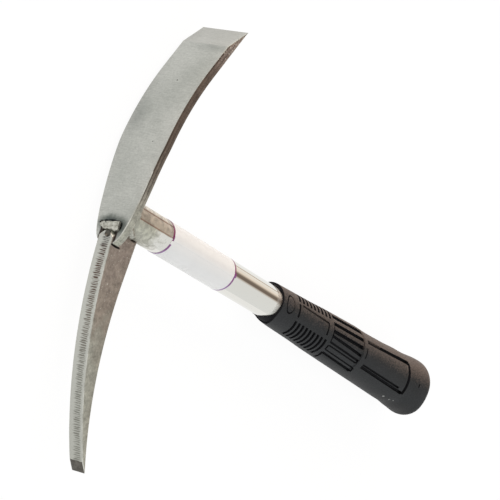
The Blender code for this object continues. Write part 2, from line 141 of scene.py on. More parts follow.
def node(tree, kind, *values, stops=(), **named):
    """Adds a node to a network. Its inputs in use take the values in order, or by a name with
    a capital letter. Names in small letters are settings. Stops are a ramp's places and colours."""
    made = tree.nodes.new("ShaderNode" + kind)
    inputs = {name: value for name, value in named.items() if name[0].isupper()}
    for name, value in named.items():
        if name not in inputs:
            setattr(made, name, value)
    for index, (position, code) in enumerate(stops):
        stop = made.color_ramp.elements[index] if index < 2 else made.color_ramp.elements.new(position)
        stop.position = position
        stop.color = linear(code)
    in_use = [index for index, socket in enumerate(made.inputs) if socket.enabled]
    feed(made, {**dict(zip(in_use, values)), **inputs})
    return made


def new_material(name):
    """A material, what adds nodes to it, its shader, and the object's own coordinates."""
    material = bpy.data.materials.new(name)
    material.use_nodes = True
    add = partial(node, material.node_tree)
    shader = material.node_tree.nodes["Principled BSDF"]
    return material, add, shader, add("TexCoord").outputs["Object"]


print("grey card in linear light:", [round(value, 3) for value in linear("#808080")])

# %% [markdown]
# The studio is a white sweep under one broad soft lamp. The floor is bright enough to
# come out white, yet it still darkens under the tool, which shows that the tool lies on
# it. Polished steel has no look of its own and shows what stands round it, so the
# studio has one long brown board beside the set. It gives the tube its dark stripe.

# %% The floor
bpy.ops.object.select_all(action="DESELECT")
bpy.ops.mesh.primitive_plane_add(size=14.0, location=(0.0, 0.0, 0.0))
floor = bpy.context.object
floor.name = "floor"
paper, add, shader, coordinates = new_material("white_paper_sweep")
feed(shader, {"Base Color": linear("#EEEEEE"), "Roughness": 1.0, "Specular IOR Level": 0.0})
path = add("LightPath")
seen = add("Math", path.outputs["Is Camera Ray"], path.outputs["Is Glossy Ray"], operation="MAXIMUM")
seen = add("Math", seen, path.outputs["Is Transmission Ray"], operation="MAXIMUM")
half_lit = add("BsdfDiffuse", linear("#545454"))
glow = add("Emission", (1.0, 1.0, 1.0, 1.0), 0.935)
bright = add("AddShader", half_lit, glow)
mixed = add("MixShader", seen, shader, bright)
feed(paper.node_tree.nodes["Material Output"], {"Surface": mixed})
floor.data.materials.append(paper)
print("floor:", floor.dimensions.x, "m across")

# %% The surroundings
world = bpy.data.worlds.new("studio")
bpy.context.scene.world = world
world.use_nodes = True
world.node_tree.nodes.clear()
add = partial(node, world.node_tree)
split = add("SeparateXYZ", add("TexCoord").outputs["Generated"])
angle = add("Math", split.outputs["Y"], split.outputs["Z"], operation="ARCTAN2")
share = add("MapRange", angle, math.radians(-90), math.radians(90))
STRIPES = (      # angle from straight up towards the adze, in degrees, and colour
    (-90, "#F0F1F1"), (8, "#F0F0EF"), (17, "#C6BAAF"), (22, "#7E7066"), (38, "#83756A"),
    (45, "#BCAD9E"), (54, "#FBECDE"), (78, "#FFFAF3"), (83, "#FFF3E6"), (85, "#A58B77"),
    (87, "#A58B77"), (89, "#F4E8DC"),
)
boards = add("ValToRGB", share, stops=[((angle + 90) / 180, code) for angle, code in STRIPES])
path = add("LightPath")
room = add("Background", boards, 1.0)
backdrop = add("Background", (1.0, 1.0, 1.0, 1.0), 1.0)
mixed = add("MixShader", path.outputs["Is Camera Ray"], room, backdrop)
add("OutputWorld", mixed)
print("colours in the surroundings:", len(STRIPES))

# %% The lamp
lamp_data = bpy.data.lights.new("softbox", "AREA")
lamp_data.shape = "SQUARE"
lamp_data.size = 1.6
lamp_data.energy = 20.0
lamp_data.color = linear("#FFF3EA")[:3]
lamp = bpy.data.objects.new("softbox", lamp_data)
bpy.context.scene.collection.objects.link(lamp)
lamp.location = (-0.7, 1.9, 0.8)
lamp.rotation_euler = (ORIGIN - lamp.location).to_track_quat("-Z", "Y").to_euler()
light = lamp_data.energy / (math.pi * (lamp.location - ORIGIN).length_squared)
print("light at the tool:", round(light, 2), "W/m2")

# %% [markdown]
# Each new piece is modelled as by hand. A primitive is added at its place, and then
# faces are pushed, turned and scaled in edit mode. A few helpers keep that short: one
# starts a piece, one chooses faces or edges by where they are, others push, carry, scale,
# turn, slice, cut and join, and one ends the piece.

# %% Helpers for modelling
def mode(name):
    bpy.ops.object.mode_set(mode=name)


def take_all():
    bpy.ops.mesh.select_all(action="SELECT")


def start(name, add, location=(0, 0, 0), **options):
    """Adds a primitive, puts its place into its mesh, and takes all of it in edit mode."""
    bpy.ops.object.select_all(action="DESELECT")
    add(location=location, **options)
    thing = bpy.context.object
    thing.name = thing.data.name = name
    bpy.ops.object.transform_apply(location=True, rotation=True, scale=True)
    mode("EDIT")
    take_all()
    return thing


def choose(kind, test):
    """Selects only the faces, edges or vertices that pass a test, and counts them."""
    bpy.ops.mesh.select_mode(type=kind)
    bpy.ops.mesh.select_all(action="DESELECT")
    mesh = bpy.context.object.data
    shape = bmesh.from_edit_mesh(mesh)
    shape.normal_update()
    parts = {"FACE": shape.faces, "EDGE": shape.edges, "VERT": shape.verts}[kind]
    count = 0
    for part in parts:
        if test(part):
            part.select_set(True)
            count += 1
    shape.select_flush_mode()
    bmesh.update_edit_mesh(mesh)
    return count


def push(offset):
    """Extrudes what is selected by an offset in millimetres."""
    bpy.ops.mesh.extrude_region_move(TRANSFORM_OT_translate={"value": Vector(offset) * MM})


def carry(offset):
    """Moves what is selected by an offset in millimetres."""
    bpy.ops.transform.translate(value=Vector(offset) * MM)


def scale(factors, centre=(0, 0, 0)):
    bpy.ops.transform.resize(value=factors, center_override=centre)


def turn(degrees, axis, centre=(0, 0, 0)):
    """Turns what is selected; without a window the operator turns the other way."""
    bpy.ops.transform.rotate(value=-math.radians(degrees), orient_axis=axis, center_override=centre)


SHARP = 0.7          # radians between two faces that make a sharp edge


def break_edges(width, test=lambda edge: edge.calc_face_angle(0) > SHARP):
    """Rounds the edges that pass a test, over a width in millimetres, and counts them."""
    count = choose("EDGE", test)
    bpy.ops.mesh.bevel(offset=width * MM, segments=2, affect="EDGES")
    return count


def slice_off(point, direction):
    """Cuts away all that lies past a plane, and fills the cut."""
    take_all()
    bpy.ops.mesh.bisect(plane_co=point, plane_no=direction, use_fill=True, clear_outer=True)


def close_up():
    """Turns all faces outwards and leaves edit mode."""
    take_all()
    bpy.ops.mesh.normals_make_consistent(inside=False)
    mode("OBJECT")


def drop(name, centre, sizes, segments=14, rings=9):
    """A ball squeezed to three half sizes in millimetres."""
    ball = start(
        name, bpy.ops.mesh.primitive_uv_sphere_add, segments=segments, ring_count=rings, radius=1.0,
    )
    scale(Vector(sizes) * MM)
    carry(centre / MM)
    return ball


def in_mm(point):
    """A point's place in millimetres from the origin of the sizes."""
    return (point - ORIGIN) / MM


def modify(kind, **settings):
    """Adds a modifier to the active object and applies it."""
    thing = bpy.context.object
    step = thing.modifiers.new(kind.lower(), kind)
    for name, value in settings.items():
        setattr(step, name, value)
    bpy.ops.object.modifier_apply(modifier=step.name)


def cut(body, tool, **settings):
    """Cuts a piece with another one, which is then removed."""
    if tool.mode == "EDIT":
        mode("OBJECT")
    bpy.context.view_layer.objects.active = body
    modify("BOOLEAN", operation="DIFFERENCE", object=tool, solver="EXACT", **settings)
    bpy.data.objects.remove(tool, do_unlink=True)


def join(things):
    """Joins some objects into the first one."""
    bpy.ops.object.select_all(action="DESELECT")
    for thing in things:
        thing.select_set(True)
    bpy.context.view_layer.objects.active = things[0]
    bpy.ops.object.join()


def end(thing, materials, nodes, angle=30):
    """Gives a piece its shading and materials, and joins it to the measured model."""
    if thing.mode == "EDIT":
        mode("OBJECT")
    bpy.ops.object.select_all(action="DESELECT")
    thing.select_set(True)
    bpy.context.view_layer.objects.active = thing
    for vert in thing.data.vertices:          # a few lie a hair outside the measured box
        vert.co = [min(max(value, least), most) for value, least, most in zip(vert.co, *cad_box)]
    bpy.ops.object.shade_smooth_by_angle(angle=math.radians(angle))
    finishes = [face.material_index for face in thing.data.polygons]
    thing.data.materials.clear()
    for material in materials:
        thing.data.materials.append(material)
    for face, finish in zip(thing.data.polygons, finishes):
        face.material_index = finish
    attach(thing, "root")
    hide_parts(*nodes)
    print(thing.name, "faces:", len(thing.data.polygons))


# %% [markdown]
# ## The adze
#
# A strip of steel plate, 35 mm wide and 6.4 mm thick, is bent towards the handle over a
# round former, and its edge is ground on the outer face. Its foot is cut to a forked
# point that sits astride the pick. The strip is drawn upwards from the points of the
# fork, one short length at a time, and each length is widened or turned as it is made.

# %% The adze's foot and bend
ADZE_THICKNESS = 6.4
ADZE_HALF_WIDTH = 17.5
FOOT_BOTTOM = -20.2
FOOT = (Vector((5.55, -19.8)), Vector((13.89, -16.43)), Vector((15.76, 23.58)), Vector((17.5, 43.5)))
BEND_START, BEND_ANGLE, BEND_RADIUS, BEND_STEPS = 22.0, 24.6, 177.5, 16
STRAIGHT, STRAIGHT_STEPS = 40.7, 8


def along_curve(points, share):
    """A point on the cubic curve that four points control."""
    a, b, c, d = points
    rest = 1 - share
    return a * rest ** 3 + b * 3 * rest ** 2 * share + c * 3 * rest * share ** 2 + d * share ** 3


def where_curve(points, height):
    """Where such a curve passes a height, found by halving."""
    low, high = 0.0, 1.0
    rising = points[3].y > points[0].y
    for step in range(40):
        middle = (low + high) / 2
        if (along_curve(points, middle).y < height) == rising:
            low = middle
        else:
            high = middle
    return along_curve(points, low).x


adze = start("adze_plate", bpy.ops.mesh.primitive_plane_add, size=1.0)
turn(90, "X")
last, half_width = FOOT_BOTTOM, where_curve(FOOT, FOOT_BOTTOM)
scale((ADZE_THICKNESS * MM, 1.0, 2 * half_width * MM))
carry(place(-ADZE_THICKNESS / 2, last) / MM)
for height in (-19.4, -18.6, -17.6, -16.2, -14.2, -11.5, -8, -4, 0, 4.5, 9, 13.5, 18, BEND_START):
    wider = where_curve(FOOT, height)
    push((0, height - last, 0))
    scale((1, 1, wider / half_width), place(0, height))
    last, half_width = height, wider
for step in range(1, BEND_STEPS + 1):
    height = BEND_START + math.radians(BEND_ANGLE * step / BEND_STEPS) * BEND_RADIUS
    push((0, 0, 0))
    turn(-BEND_ANGLE / BEND_STEPS, "Z", place(BEND_RADIUS, BEND_START))
    wider = where_curve(FOOT, height) if height < FOOT[3].y else ADZE_HALF_WIDTH
    scale((1, 1, wider / half_width), ORIGIN)
    half_width = wider
along = Vector((math.sin(math.radians(BEND_ANGLE)), math.cos(math.radians(BEND_ANGLE)), 0))
outwards = Vector((-along.y, along.x, 0))
for step in range(STRAIGHT_STEPS):
    push(along * STRAIGHT / STRAIGHT_STEPS)
reached = max(in_mm(vert.co).y for vert in bmesh.from_edit_mesh(adze.data).verts)
print("adze drawn up to", round(reached, 1), "mm")

# %% The adze's ground edge
EDGE_LAND = 0.3
BEVEL_LENGTH = 20.5
bend = math.radians(BEND_ANGLE)
bend_end = Vector((BEND_RADIUS * (1 - math.cos(bend)), BEND_START + BEND_RADIUS * math.sin(bend), 0))
cutting_edge = bend_end + along * STRAIGHT
ground_run = math.sqrt(BEVEL_LENGTH ** 2 - ADZE_THICKNESS ** 2)
ground_from = cutting_edge - along * ground_run + outwards * ADZE_THICKNESS
ground_to = cutting_edge + outwards * EDGE_LAND
slope = (ground_to - ground_from).normalized()
bevel_normal = Vector((-slope.y, slope.x, 0))
slice_off(place(*ground_from), bevel_normal)
close_up()
print("ground face:", round((ground_to - ground_from).length, 1), "mm long")

# %% The slot that the pick passes through
SLOT_SIZE, SLOT_CENTRE = Vector((12, 20, 11.1)), (-3, -21.1)
SLOT_SIDES, SLOT_ROOF = 5.7, -10      # what lies between these and under this is in the slot
slot = start("slot", bpy.ops.mesh.primitive_cube_add, size=1.0)
scale(SLOT_SIZE * MM)
carry(place(*SLOT_CENTRE) / MM)
cut(adze, slot)
mode("EDIT")
print("edges broken:", break_edges(0.5, lambda edge: (
    edge.calc_face_angle(0) > SHARP
    and not all(in_mm(vert.co).y > cutting_edge.y - 1 for vert in edge.verts)
    and not all(
        abs(in_mm(vert.co).z) < SLOT_SIDES and in_mm(vert.co).y < SLOT_ROOF for vert in edge.verts
    )
)))

# %% Which faces of the adze are ground, cut or worn
GROUND, BEVELLED, CUT, WORN = 0, 1, 2, 3
UNWORN_FROM, UNWORN_TO = 25, 112      # between these heights the long corners aren't worn


def adze_finish(face):
    normal = face.normal
    middle = in_mm(face.calc_center_median())
    if normal.dot(bevel_normal) > 0.995 and middle.y > ground_from.y - 1:
        return BEVELLED
    if abs(normal.z) > 0.93 or (abs(normal.x) < 0.3 and middle.y < 20):
        return CUT
    if abs(normal.z) > 0.2 and not UNWORN_FROM < middle.y < UNWORN_TO:
        return WORN
    return CUT if abs(normal.z) > 0.55 else GROUND


def finish_faces(rule):
    """Gives every face the number of the finish that a rule names, and counts each."""
    mesh = bpy.context.object.data
    shape = bmesh.from_edit_mesh(mesh)
    shape.normal_update()
    counts = {}
    for face in shape.faces:
        face.material_index = rule(face)
        counts[face.material_index] = counts.get(face.material_index, 0) + 1
    bmesh.update_edit_mesh(mesh)
    return counts


print("faces by finish:", finish_faces(adze_finish))
mode("OBJECT")


# %% How deep each point lies in the adze's plate
def depth_in_plate(point):
    """Millimetres from the plate's back face, along the foot, the bend and the straight end."""
    if point.y < BEND_START:
        return -point.x
    if (point - bend_end).dot(along) > 0:
        return (point - bend_end).dot(outwards)
    return math.hypot(point.x - BEND_RADIUS, point.y - BEND_START) - BEND_RADIUS


depths = adze.data.attributes.new("depth", "FLOAT", "POINT")
for vert in adze.data.vertices:
    depths.data[vert.index].value = depth_in_plate(in_mm(vert.co))
deep = [item.value for item in depths.data]
print("depths:", round(min(deep), 1), "to", round(max(deep), 1), "mm")

# %% [markdown]
# ### The adze's steel
#
# The broad faces are mild steel, ground on a belt. That gives the eye a satin grey with
# short fine lines across the plate, softly darker patches where the belt bit less, and
# a few pits left from the rolled skin. Heat from the weld has left a smoky shade round
# the foot. The cut sides are rougher and have a brown skin of scale.

# %% Ground steel
LINE_LENGTH = 7.0      # of one grinding line, in millimetres
LINE_WIDTH = 0.45      # drawn coarser than the belt's grit so that it shows


def ground_steel(name, light, dark, patch_size, contrast=1.0):
    """Steel ground on a belt: what new_material gives, and the colour so far."""
    material, add, shader, coordinates = new_material(name)
    patches = add("TexNoise", Vector=coordinates, Scale=1 / (patch_size * MM), Detail=3.0)
    lines = [1 / (size * MM) for size in (LINE_WIDTH, LINE_WIDTH, LINE_LENGTH)]
    lines = add("Mapping", Vector=coordinates, Scale=lines)
    lines = add("TexNoise", Vector=lines, Scale=1.0, Detail=4.0, Roughness=0.7)
    grit = add("TexNoise", Vector=coordinates, Scale=1 / (1.3 * MM), Detail=4.0, Roughness=0.75)
    tone = add("ValToRGB", patches, stops=((0.34, dark), (0.62, light)))
    shade = add("Math", lines, grit, operation="ADD")
    shade = add("MapRange", shade, 0.7, 1.3, 1 - 0.2 * contrast, 1 + 0.18 * contrast)
    colour = add("VectorMath", tone, shade, operation="MULTIPLY")
    dull = add("MapRange", patches, 0.0, 1.0, 0.5, 0.34)
    relief = add("Bump", Height=shade, Strength=0.35, Distance=0.05 * MM)
    feed(shader, {"Base Color": colour, "Roughness": dull, "Metallic": 1.0, "Normal": relief})
    return material, add, shader, coordinates, colour


belt_ground_steel, add, shader, coordinates, colour = ground_steel(
    "mild_steel_belt_ground", "#BCBDB7", "#ADAFA9", 38,
)
edge_ground_steel = ground_steel("mild_steel_edge_ground", "#BCBCB6", "#B2B2AC", 30, 0.7)[0]
print("lines across the adze:", round(2 * ADZE_HALF_WIDTH / LINE_WIDTH))

# %% Heat smoke, pits and painted shade on the ground face: soft shadows, the pad's shadow and dark bands beside the slot
def shadows_and_stains(add, coordinates, curl, colour, places):
    """Darkens a colour round some places: painted shadows, and stains such as heat smoke and pits.
    Each has a centre, a reach along X, Y and Z, and a ramp from the centre outwards; curl makes each
    edge uneven."""
    for centre, reach, stops in places:
        away = add("VectorMath", coordinates, place(*centre), operation="SUBTRACT")
        away = add("VectorMath", away, [1 / (size * MM) for size in reach], operation="MULTIPLY")
        away = add("VectorMath", away, operation="LENGTH")
        uneven = add("MapRange", curl, 0.0, 1.0, -0.25, 0.25)
        away = add("Math", away, uneven, operation="ADD")
        tone = add("ValToRGB", away, stops=stops)
        colour = add("VectorMath", colour, tone, operation="MULTIPLY")
    return colour


SMOKE = ((0.45, "#84898A"), (0.62, "#A2A6A5"), (0.82, "#D8DAD9"), (1.0, "#FFFFFF"))
HAZE = ((0.2, "#AAAFAE"), (0.6, "#C6C9C8"), (1.0, "#FFFFFF"))
# painted shadow along the weld pad's top edge, where the pad stands out from the face
PAD_SHADOW = ((0.4, "#474B4D"), (0.75, "#A0A3A3"), (1.0, "#FFFFFF"))
SOFT = ((0.1, "#E2E3E3"), (1.0, "#FFFFFF"))
DEEP_PIT = ((0.4, "#666664"), (1.0, "#FFFFFF"))
PIT = ((0.4, "#80807E"), (1.0, "#FFFFFF"))
curl = add("TexNoise", Vector=coordinates, Scale=1 / (4 * MM), Detail=3.0)
# heat smoke and haze round the foot, painted shadows along the pad's top edge, two soft painted
# shadows, and two pits
colour = shadows_and_stains(add, coordinates, curl, colour, (
    ((-6.4, -8.6, -0.8), (20, 6.7, 12.0), SMOKE), ((-6.4, -10.5, 8.0), (20, 7.5, 7.5), HAZE),
    ((-6.4, -6.6, 1.4), (20, 0.9, 5.2), PAD_SHADOW), ((-6.4, -7.3, -4.4), (20, 0.9, 2.4), PAD_SHADOW),
    ((-6.4, -8.1, -7.2), (20, 0.9, 2.2), PAD_SHADOW), ((-6.4, -9.2, 7.4), (20, 2.6, 1.0), PAD_SHADOW),
    ((-2.2, 60.0, -12.5), (40, 15.0, 9.0), SOFT), ((20.0, 116.0, 8.0), (40, 5.0, 20.0), SOFT),
    ((5.9, 88.2, -0.1), (20, 0.7, 0.55), DEEP_PIT), ((-4.9, 45.2, 7.1), (20, 0.5, 0.5), PIT),
))
# Painted shade: a dark band on the tines' faces along the slot's edges, beside the pick.
split = add("SeparateXYZ", coordinates)
beside = add("Math", split.outputs["Z"], ORIGIN.z, operation="SUBTRACT")
beside = add("Math", beside, operation="ABSOLUTE")
uneven = add("MapRange", curl, 0.0, 1.0, -0.6 * MM, 0.6 * MM)
beside = add("Math", beside, uneven, operation="ADD")
beside = add("MapRange", beside, 6.3 * MM, 7.1 * MM, 1.0, 0.0)
low = add("MapRange", split.outputs["Y"], place(0, -9).y, place(0, -11).y)
slot_edge_shade = add("Math", beside, low, operation="MULTIPLY")
colour = add("Mix", slot_edge_shade, colour, linear("#3B3431"), data_type="RGBA")
feed(shader, {"Base Color": colour})
print("nodes in the ground face's material:", len(belt_ground_steel.node_tree.nodes))

# %% [markdown]
# A shear leaves a plate's edge rough. It shows as layers that run along the edge, with
# dark seams between them, under a thin skin of brown scale. Each point of the adze keeps
# its depth in the plate as an attribute, and the layers follow that. The worn corners
# are the brightest lines on the whole head.

# %% Sheared and worn steel
sheared_steel, add, shader, coordinates = new_material("mild_steel_sheared_edge")
depth = add("Attribute", attribute_name="depth").outputs["Fac"]
height = add("SeparateXYZ", coordinates).outputs["Y"]
height = add("MapRange", height, place(0, -20).y, place(0, 135).y)
tone = add("ValToRGB", height, stops=(
    (0.0, "#B3B4A8"), (0.12, "#AFAFA4"), (0.2, "#A39F94"), (0.3, "#82786D"), (0.42, "#6B5E54"),
    (0.72, "#75675D"), (0.82, "#8C7C73"), (1.0, "#A5958B"),
))
crumbs = add("TexNoise", Vector=coordinates, Scale=1 / (1.1 * MM), Detail=4.0, Roughness=0.75)
ridges = add("Mapping", Vector=coordinates, Scale=[1 / (size * MM) for size in (7.0, 7.0, 1.2)])
ridges = add("TexNoise", Vector=ridges, Scale=1.0, Detail=4.0, Roughness=0.65)
wobble = add("MapRange", ridges, 0.0, 1.0, -1.1, 1.1)
layer = add("Math", depth, wobble, operation="ADD")
layer = add("MapRange", layer, 0.0, ADZE_THICKNESS)
layer = add("ValToRGB", layer, stops=(
    (0.0, "#D8D8D8"), (0.12, "#FFFFFF"), (0.36, "#E6E6E6"), (0.43, "#7A7672"), (0.5, "#EFEFEF"),
    (0.72, "#FFFFFF"), (0.84, "#8A8580"), (0.9, "#8E8984"), (1.0, "#E0E0E0"),
))
clear = add("ValToRGB", height, stops=(
    (0.06, "#303030"), (0.16, "#A0A0A0"), (0.22, "#FFFFFF"), (0.42, "#E0E0E0"), (0.55, "#9A9A9A"),
    (0.72, "#A0A0A0"), (0.82, "#F0F0F0"),
))
layer = add("Mix", clear, linear("#FFFFFF"), layer, data_type="RGBA")
both = add("Math", ridges, crumbs, operation="ADD")
shade = add("MapRange", both, 0.7, 1.3, 0.55, 1.55)
colour = add("VectorMath", tone, layer, operation="MULTIPLY")
colour = add("VectorMath", colour, shade, operation="MULTIPLY")
specks = add("TexNoise", Vector=coordinates, Scale=1 / (0.9 * MM), Detail=2.0, Roughness=0.8)
many = add("MapRange", height, 0.7, 0.86, 0.3, 0.0)
specks = add("Math", specks, many, operation="SUBTRACT")
specks = add("MapRange", specks, 0.54, 0.64)
colour = add("Mix", specks, colour, linear("#D6CEC4"), data_type="RGBA")
rough = add("MapRange", crumbs, 0.0, 1.0, 0.72, 0.42)
relief = add("Bump", Height=both, Strength=0.6, Distance=0.25 * MM)
feed(shader, {"Base Color": colour, "Roughness": rough, "Metallic": 0.75, "Normal": relief})
worn_steel = ground_steel("mild_steel_worn_corner", "#D2D2CA", "#AFAFA6", 9)[0]
end(
    adze, [belt_ground_steel, edge_ground_steel, sheared_steel, worn_steel], ["adze_blade"],
)

# %% [markdown]
# ## The pick
#
# The pick was cut by torch from plate 10.5 mm thick, along one curve at its front and
# another at its rear, which meet at a small ground tip. It is drawn downwards from its
# root in level slices. Each new slice is moved and narrowed so that its ends lie on
# the two curves, and the corner at the root and the tip are sliced off at the end.

# %% The pick's two curves
PICK_HALF_THICKNESS = 5.25
ROOT_TOP = -11.4
PICK_FRONT, FRONT_CURVED_FROM = -8.1, -13.9
PICK_REAR, REAR_CURVED_FROM = 15.0, ROOT_TOP - 24
TIP = Vector((41.5, -149.4))
TIP_FRONT = Vector((-4.0, 3.1))       # the other end of the ground face, counted from the tip
TIP_FRONT_HEIGHT = -146.3
TIP_NORMAL = Vector((-3.1, -4.0, 0))
FRONT_SLANT = 34                      # degrees between the front and straight down, at the tip


def arc_between(first, last, leaving, arriving):
    """The four control points of a curve close to a circle's arc; directions are in degrees."""
    pull = (last - first).length / (3 * math.cos(math.radians(arriving - leaving) / 4) ** 2)
    out, back = (
        Vector((math.cos(math.radians(angle)), math.sin(math.radians(angle)))) * pull
        for angle in (leaving, arriving)
    )
    return first, first + out, last - back, last


front_curve = arc_between(
    Vector((PICK_FRONT, FRONT_CURVED_FROM)), TIP + TIP_FRONT, 4.2 - 90, FRONT_SLANT - 90,
)
rear_curve = arc_between(Vector((PICK_REAR, REAR_CURVED_FROM)), TIP, -90, 26.5 - 90)


def front_of(height):
    if height > FRONT_CURVED_FROM:
        return PICK_FRONT
    beyond = max(0, TIP_FRONT_HEIGHT - height) * math.tan(math.radians(FRONT_SLANT))
    return where_curve(front_curve, max(height, TIP_FRONT_HEIGHT)) + beyond


def rear_of(height):
    return PICK_REAR if height > REAR_CURVED_FROM else where_curve(rear_curve, max(height, TIP.y))


print("depth half way down:", round(rear_of(-80) - front_of(-80), 1), "mm")

# %% The pick's body
SLICES = 42
pick = start("pick_plate", bpy.ops.mesh.primitive_plane_add, size=1.0)
turn(90, "X")
last, depth = ROOT_TOP, rear_of(ROOT_TOP) - front_of(ROOT_TOP)
scale(Vector((depth, 1000, 2 * PICK_HALF_THICKNESS)) * MM)
middle = (rear_of(ROOT_TOP) + front_of(ROOT_TOP)) / 2
carry(place(middle, ROOT_TOP) / MM)
for step in range(1, SLICES + 1):
    height = ROOT_TOP + (TIP.y - ROOT_TOP) * step / SLICES
    new_depth = max(rear_of(height) - front_of(height), 0.4)
    new_middle = (rear_of(height) + front_of(height)) / 2
    push((new_middle - middle, height - last, 0))
    scale((new_depth / depth, 1, 1), place(new_middle, height))
    middle, depth, last = new_middle, new_depth, height
for corner, direction in (
    ((PICK_FRONT, FRONT_CURVED_FROM, 0), (-1, 1, 0)), ((*TIP, 0), TIP_NORMAL),
    ((PICK_FRONT, -17.0, PICK_HALF_THICKNESS), (-5.7, 4.8, 8.1)),
    ((PICK_FRONT, -17.0, -PICK_HALF_THICKNESS), (-5.7, 4.8, -8.1)),
):
    slice_off(place(*corner), direction)
take_all()
bpy.ops.mesh.remove_doubles(threshold=0.02 * MM)
bpy.ops.mesh.normals_make_consistent(inside=False)
print("pick's broken edges:", break_edges(0.45))

# %% Which faces of the pick are cheeks, cut or worn
CHEEK, TORCH_CUT, RUBBED, TIP_GROUND_AND_HOLLOW_SHADE = 0, 1, 2, 3


def pick_finish(face):
    normal = face.normal
    middle = in_mm(face.calc_center_median())
    if abs(normal.z) > 0.93:
        return CHEEK
    if abs(normal.z) > 0.2:
        # Near the root the broken edges on the far side keep the darker skin: painted shade, in the
        # shadow of the adze's foot and weld.
        return RUBBED if middle.y < -20 or middle.z > 0 else CHEEK
    if normal.dot(TIP_NORMAL.normalized()) > 0.99 and middle.y < TIP_FRONT_HEIGHT + 1.3:
        return TIP_GROUND_AND_HOLLOW_SHADE
    return TORCH_CUT


print("faces by finish:", finish_faces(pick_finish))
mode("OBJECT")

# %% The hollow that the weld left at the root
HOLLOW_CENTRE = Vector((-8.7, -15.0, 1.0))
cut(pick, drop("hollow", place(*HOLLOW_CENTRE), (2.2, 2.4, 2.3), segments=24, rings=14))
# The hollow's inner faces take the dark ground steel of the tip: painted shade in the hollow.
for face in pick.data.polygons:
    inwards = HOLLOW_CENTRE - in_mm(face.center)
    if inwards.length < 2.6 and face.normal.dot(inwards.normalized()) > 0.75:
        face.material_index = TIP_GROUND_AND_HOLLOW_SHADE
print("pick faces:", len(pick.data.polygons))

# %% [markdown]
# ### The pick's steel
#
# Its cheeks keep the skin of rolled plate, a mottled brown-grey with pale specks, which
# is more rubbed and greyer towards the tip. Its front edge was ground along both
# sides after cutting, so a rough band of torch marks is left along its middle, brown
# with heat near the weld and grey lower down.

# %% Plate skin
skin_steel, add, shader, coordinates = new_material("mild_steel_rolled_skin")
height = add("SeparateXYZ", coordinates).outputs["Y"]
height = add("MapRange", height, place(0, -15).y, place(0, -149).y)
cloud = add("TexNoise", Vector=coordinates, Scale=1 / (11 * MM), Detail=4.0, Roughness=0.6)
wander = add("MapRange", cloud, 0.0, 1.0, -0.25, 0.25)
wandered = add("Math", height, wander, operation="ADD")
tone = add("ValToRGB", wandered, stops=(
    (0.0, "#A1958C"), (0.3, "#A0968B"), (0.42, "#A29E93"), (0.55, "#AFAFA4"), (1.0, "#B6B6AA"),
))
blots = add("TexNoise", Vector=coordinates, Scale=1 / (4.5 * MM), Detail=3.0, Roughness=0.6)
mottle = add("TexNoise", Vector=coordinates, Scale=1 / (1.3 * MM), Detail=4.0, Roughness=0.7)
both = add("Math", blots, mottle, operation="ADD")
shade = add("MapRange", both, 0.7, 1.3, 0.66, 1.32)
colour = add("VectorMath", tone, shade, operation="MULTIPLY")
specks = add(
    "TexNoise", Vector=coordinates, Scale=1 / (1.6 * MM), Detail=2.0, Roughness=0.8, Distortion=0.6,
)
few = add("MapRange", height, 0.0, 0.6, 0.0, 0.07)
near = add("Math", specks, few, operation="SUBTRACT")
near = add("MapRange", near, 0.62, 0.7)
colour = add("Mix", near, colour, linear("#D8D4CA"), data_type="RGBA")
# Painted shadows: a dark line under the near tine's end, and a dark patch where the tube's underside
# meets the pick.
colour = shadows_and_stains(add, coordinates, cloud, colour, (
    ((-2.5, -20.7, 5.3), (5.6, 1.0, 8), ((0.7, "#2C2A28"), (1.0, "#FFFFFF"))),
    ((10.8, -12.2, 5.3), (4.6, 1.6, 8), ((0.5, "#34302D"), (1.0, "#FFFFFF"))),
))
rough = add("MapRange", cloud, 0.0, 1.0, 0.62, 0.4)
relief = add("Bump", Height=both, Strength=0.4, Distance=0.1 * MM)
feed(shader, {"Base Color": colour, "Roughness": rough, "Metallic": 0.8, "Normal": relief})
print("plate skin:", skin_steel.name)

# %% Torch-cut front
TORCH_MARK = 1.15        # from one torch mark to the next, in millimetres
torch_steel, add, shader, coordinates = new_material("mild_steel_torch_cut")
split = add("SeparateXYZ", coordinates)
drift = add("Mapping", Vector=coordinates, Scale=[1 / (size * MM) for size in (9, 6, 40)])
drift = add("TexNoise", Vector=drift, Scale=1.0, Detail=3.0)
phase = add("Math", split.outputs["Y"], 2 * math.pi / (TORCH_MARK * MM), operation="MULTIPLY")
swing = add("Math", drift, 14.0, operation="MULTIPLY")
phase = add("Math", phase, swing, operation="ADD")
comb = add("Math", phase, operation="SINE")
streaks = add("Mapping", Vector=coordinates, Scale=[1 / (size * MM) for size in (9, 0.8, 6)])
streaks = add("TexNoise", Vector=streaks, Scale=1.0, Detail=3.0, Roughness=0.6)
comb = add("Math", comb, 0.16, operation="MULTIPLY")
comb = add("Math", comb, streaks, operation="ADD")
comb = add("MapRange", comb, 0.38, 0.68, interpolation_type="SMOOTHSTEP")
across = add("Math", split.outputs["Z"], ORIGIN.z, operation="SUBTRACT")
ragged = add("MapRange", streaks, 0.3, 0.7, -1.2 * MM, 1.2 * MM)
across = add("Math", across, ragged, operation="ADD")
band = add("MapRange", across, -5.2 * MM, 5.2 * MM)
band = add("ValToRGB", band, stops=(
    (0.3, "#000000"), (0.52, "#FFFFFF"), (0.79, "#FFFFFF"), (0.87, "#000000"),
))
burnt = add("Math", comb, band, operation="MULTIPLY")
haze = add("Math", band, 0.22, operation="MULTIPLY")
burnt = add("Math", burnt, haze, operation="ADD", use_clamp=True)
height = add("MapRange", split.outputs["Y"], place(0, -12).y, place(0, -149).y)
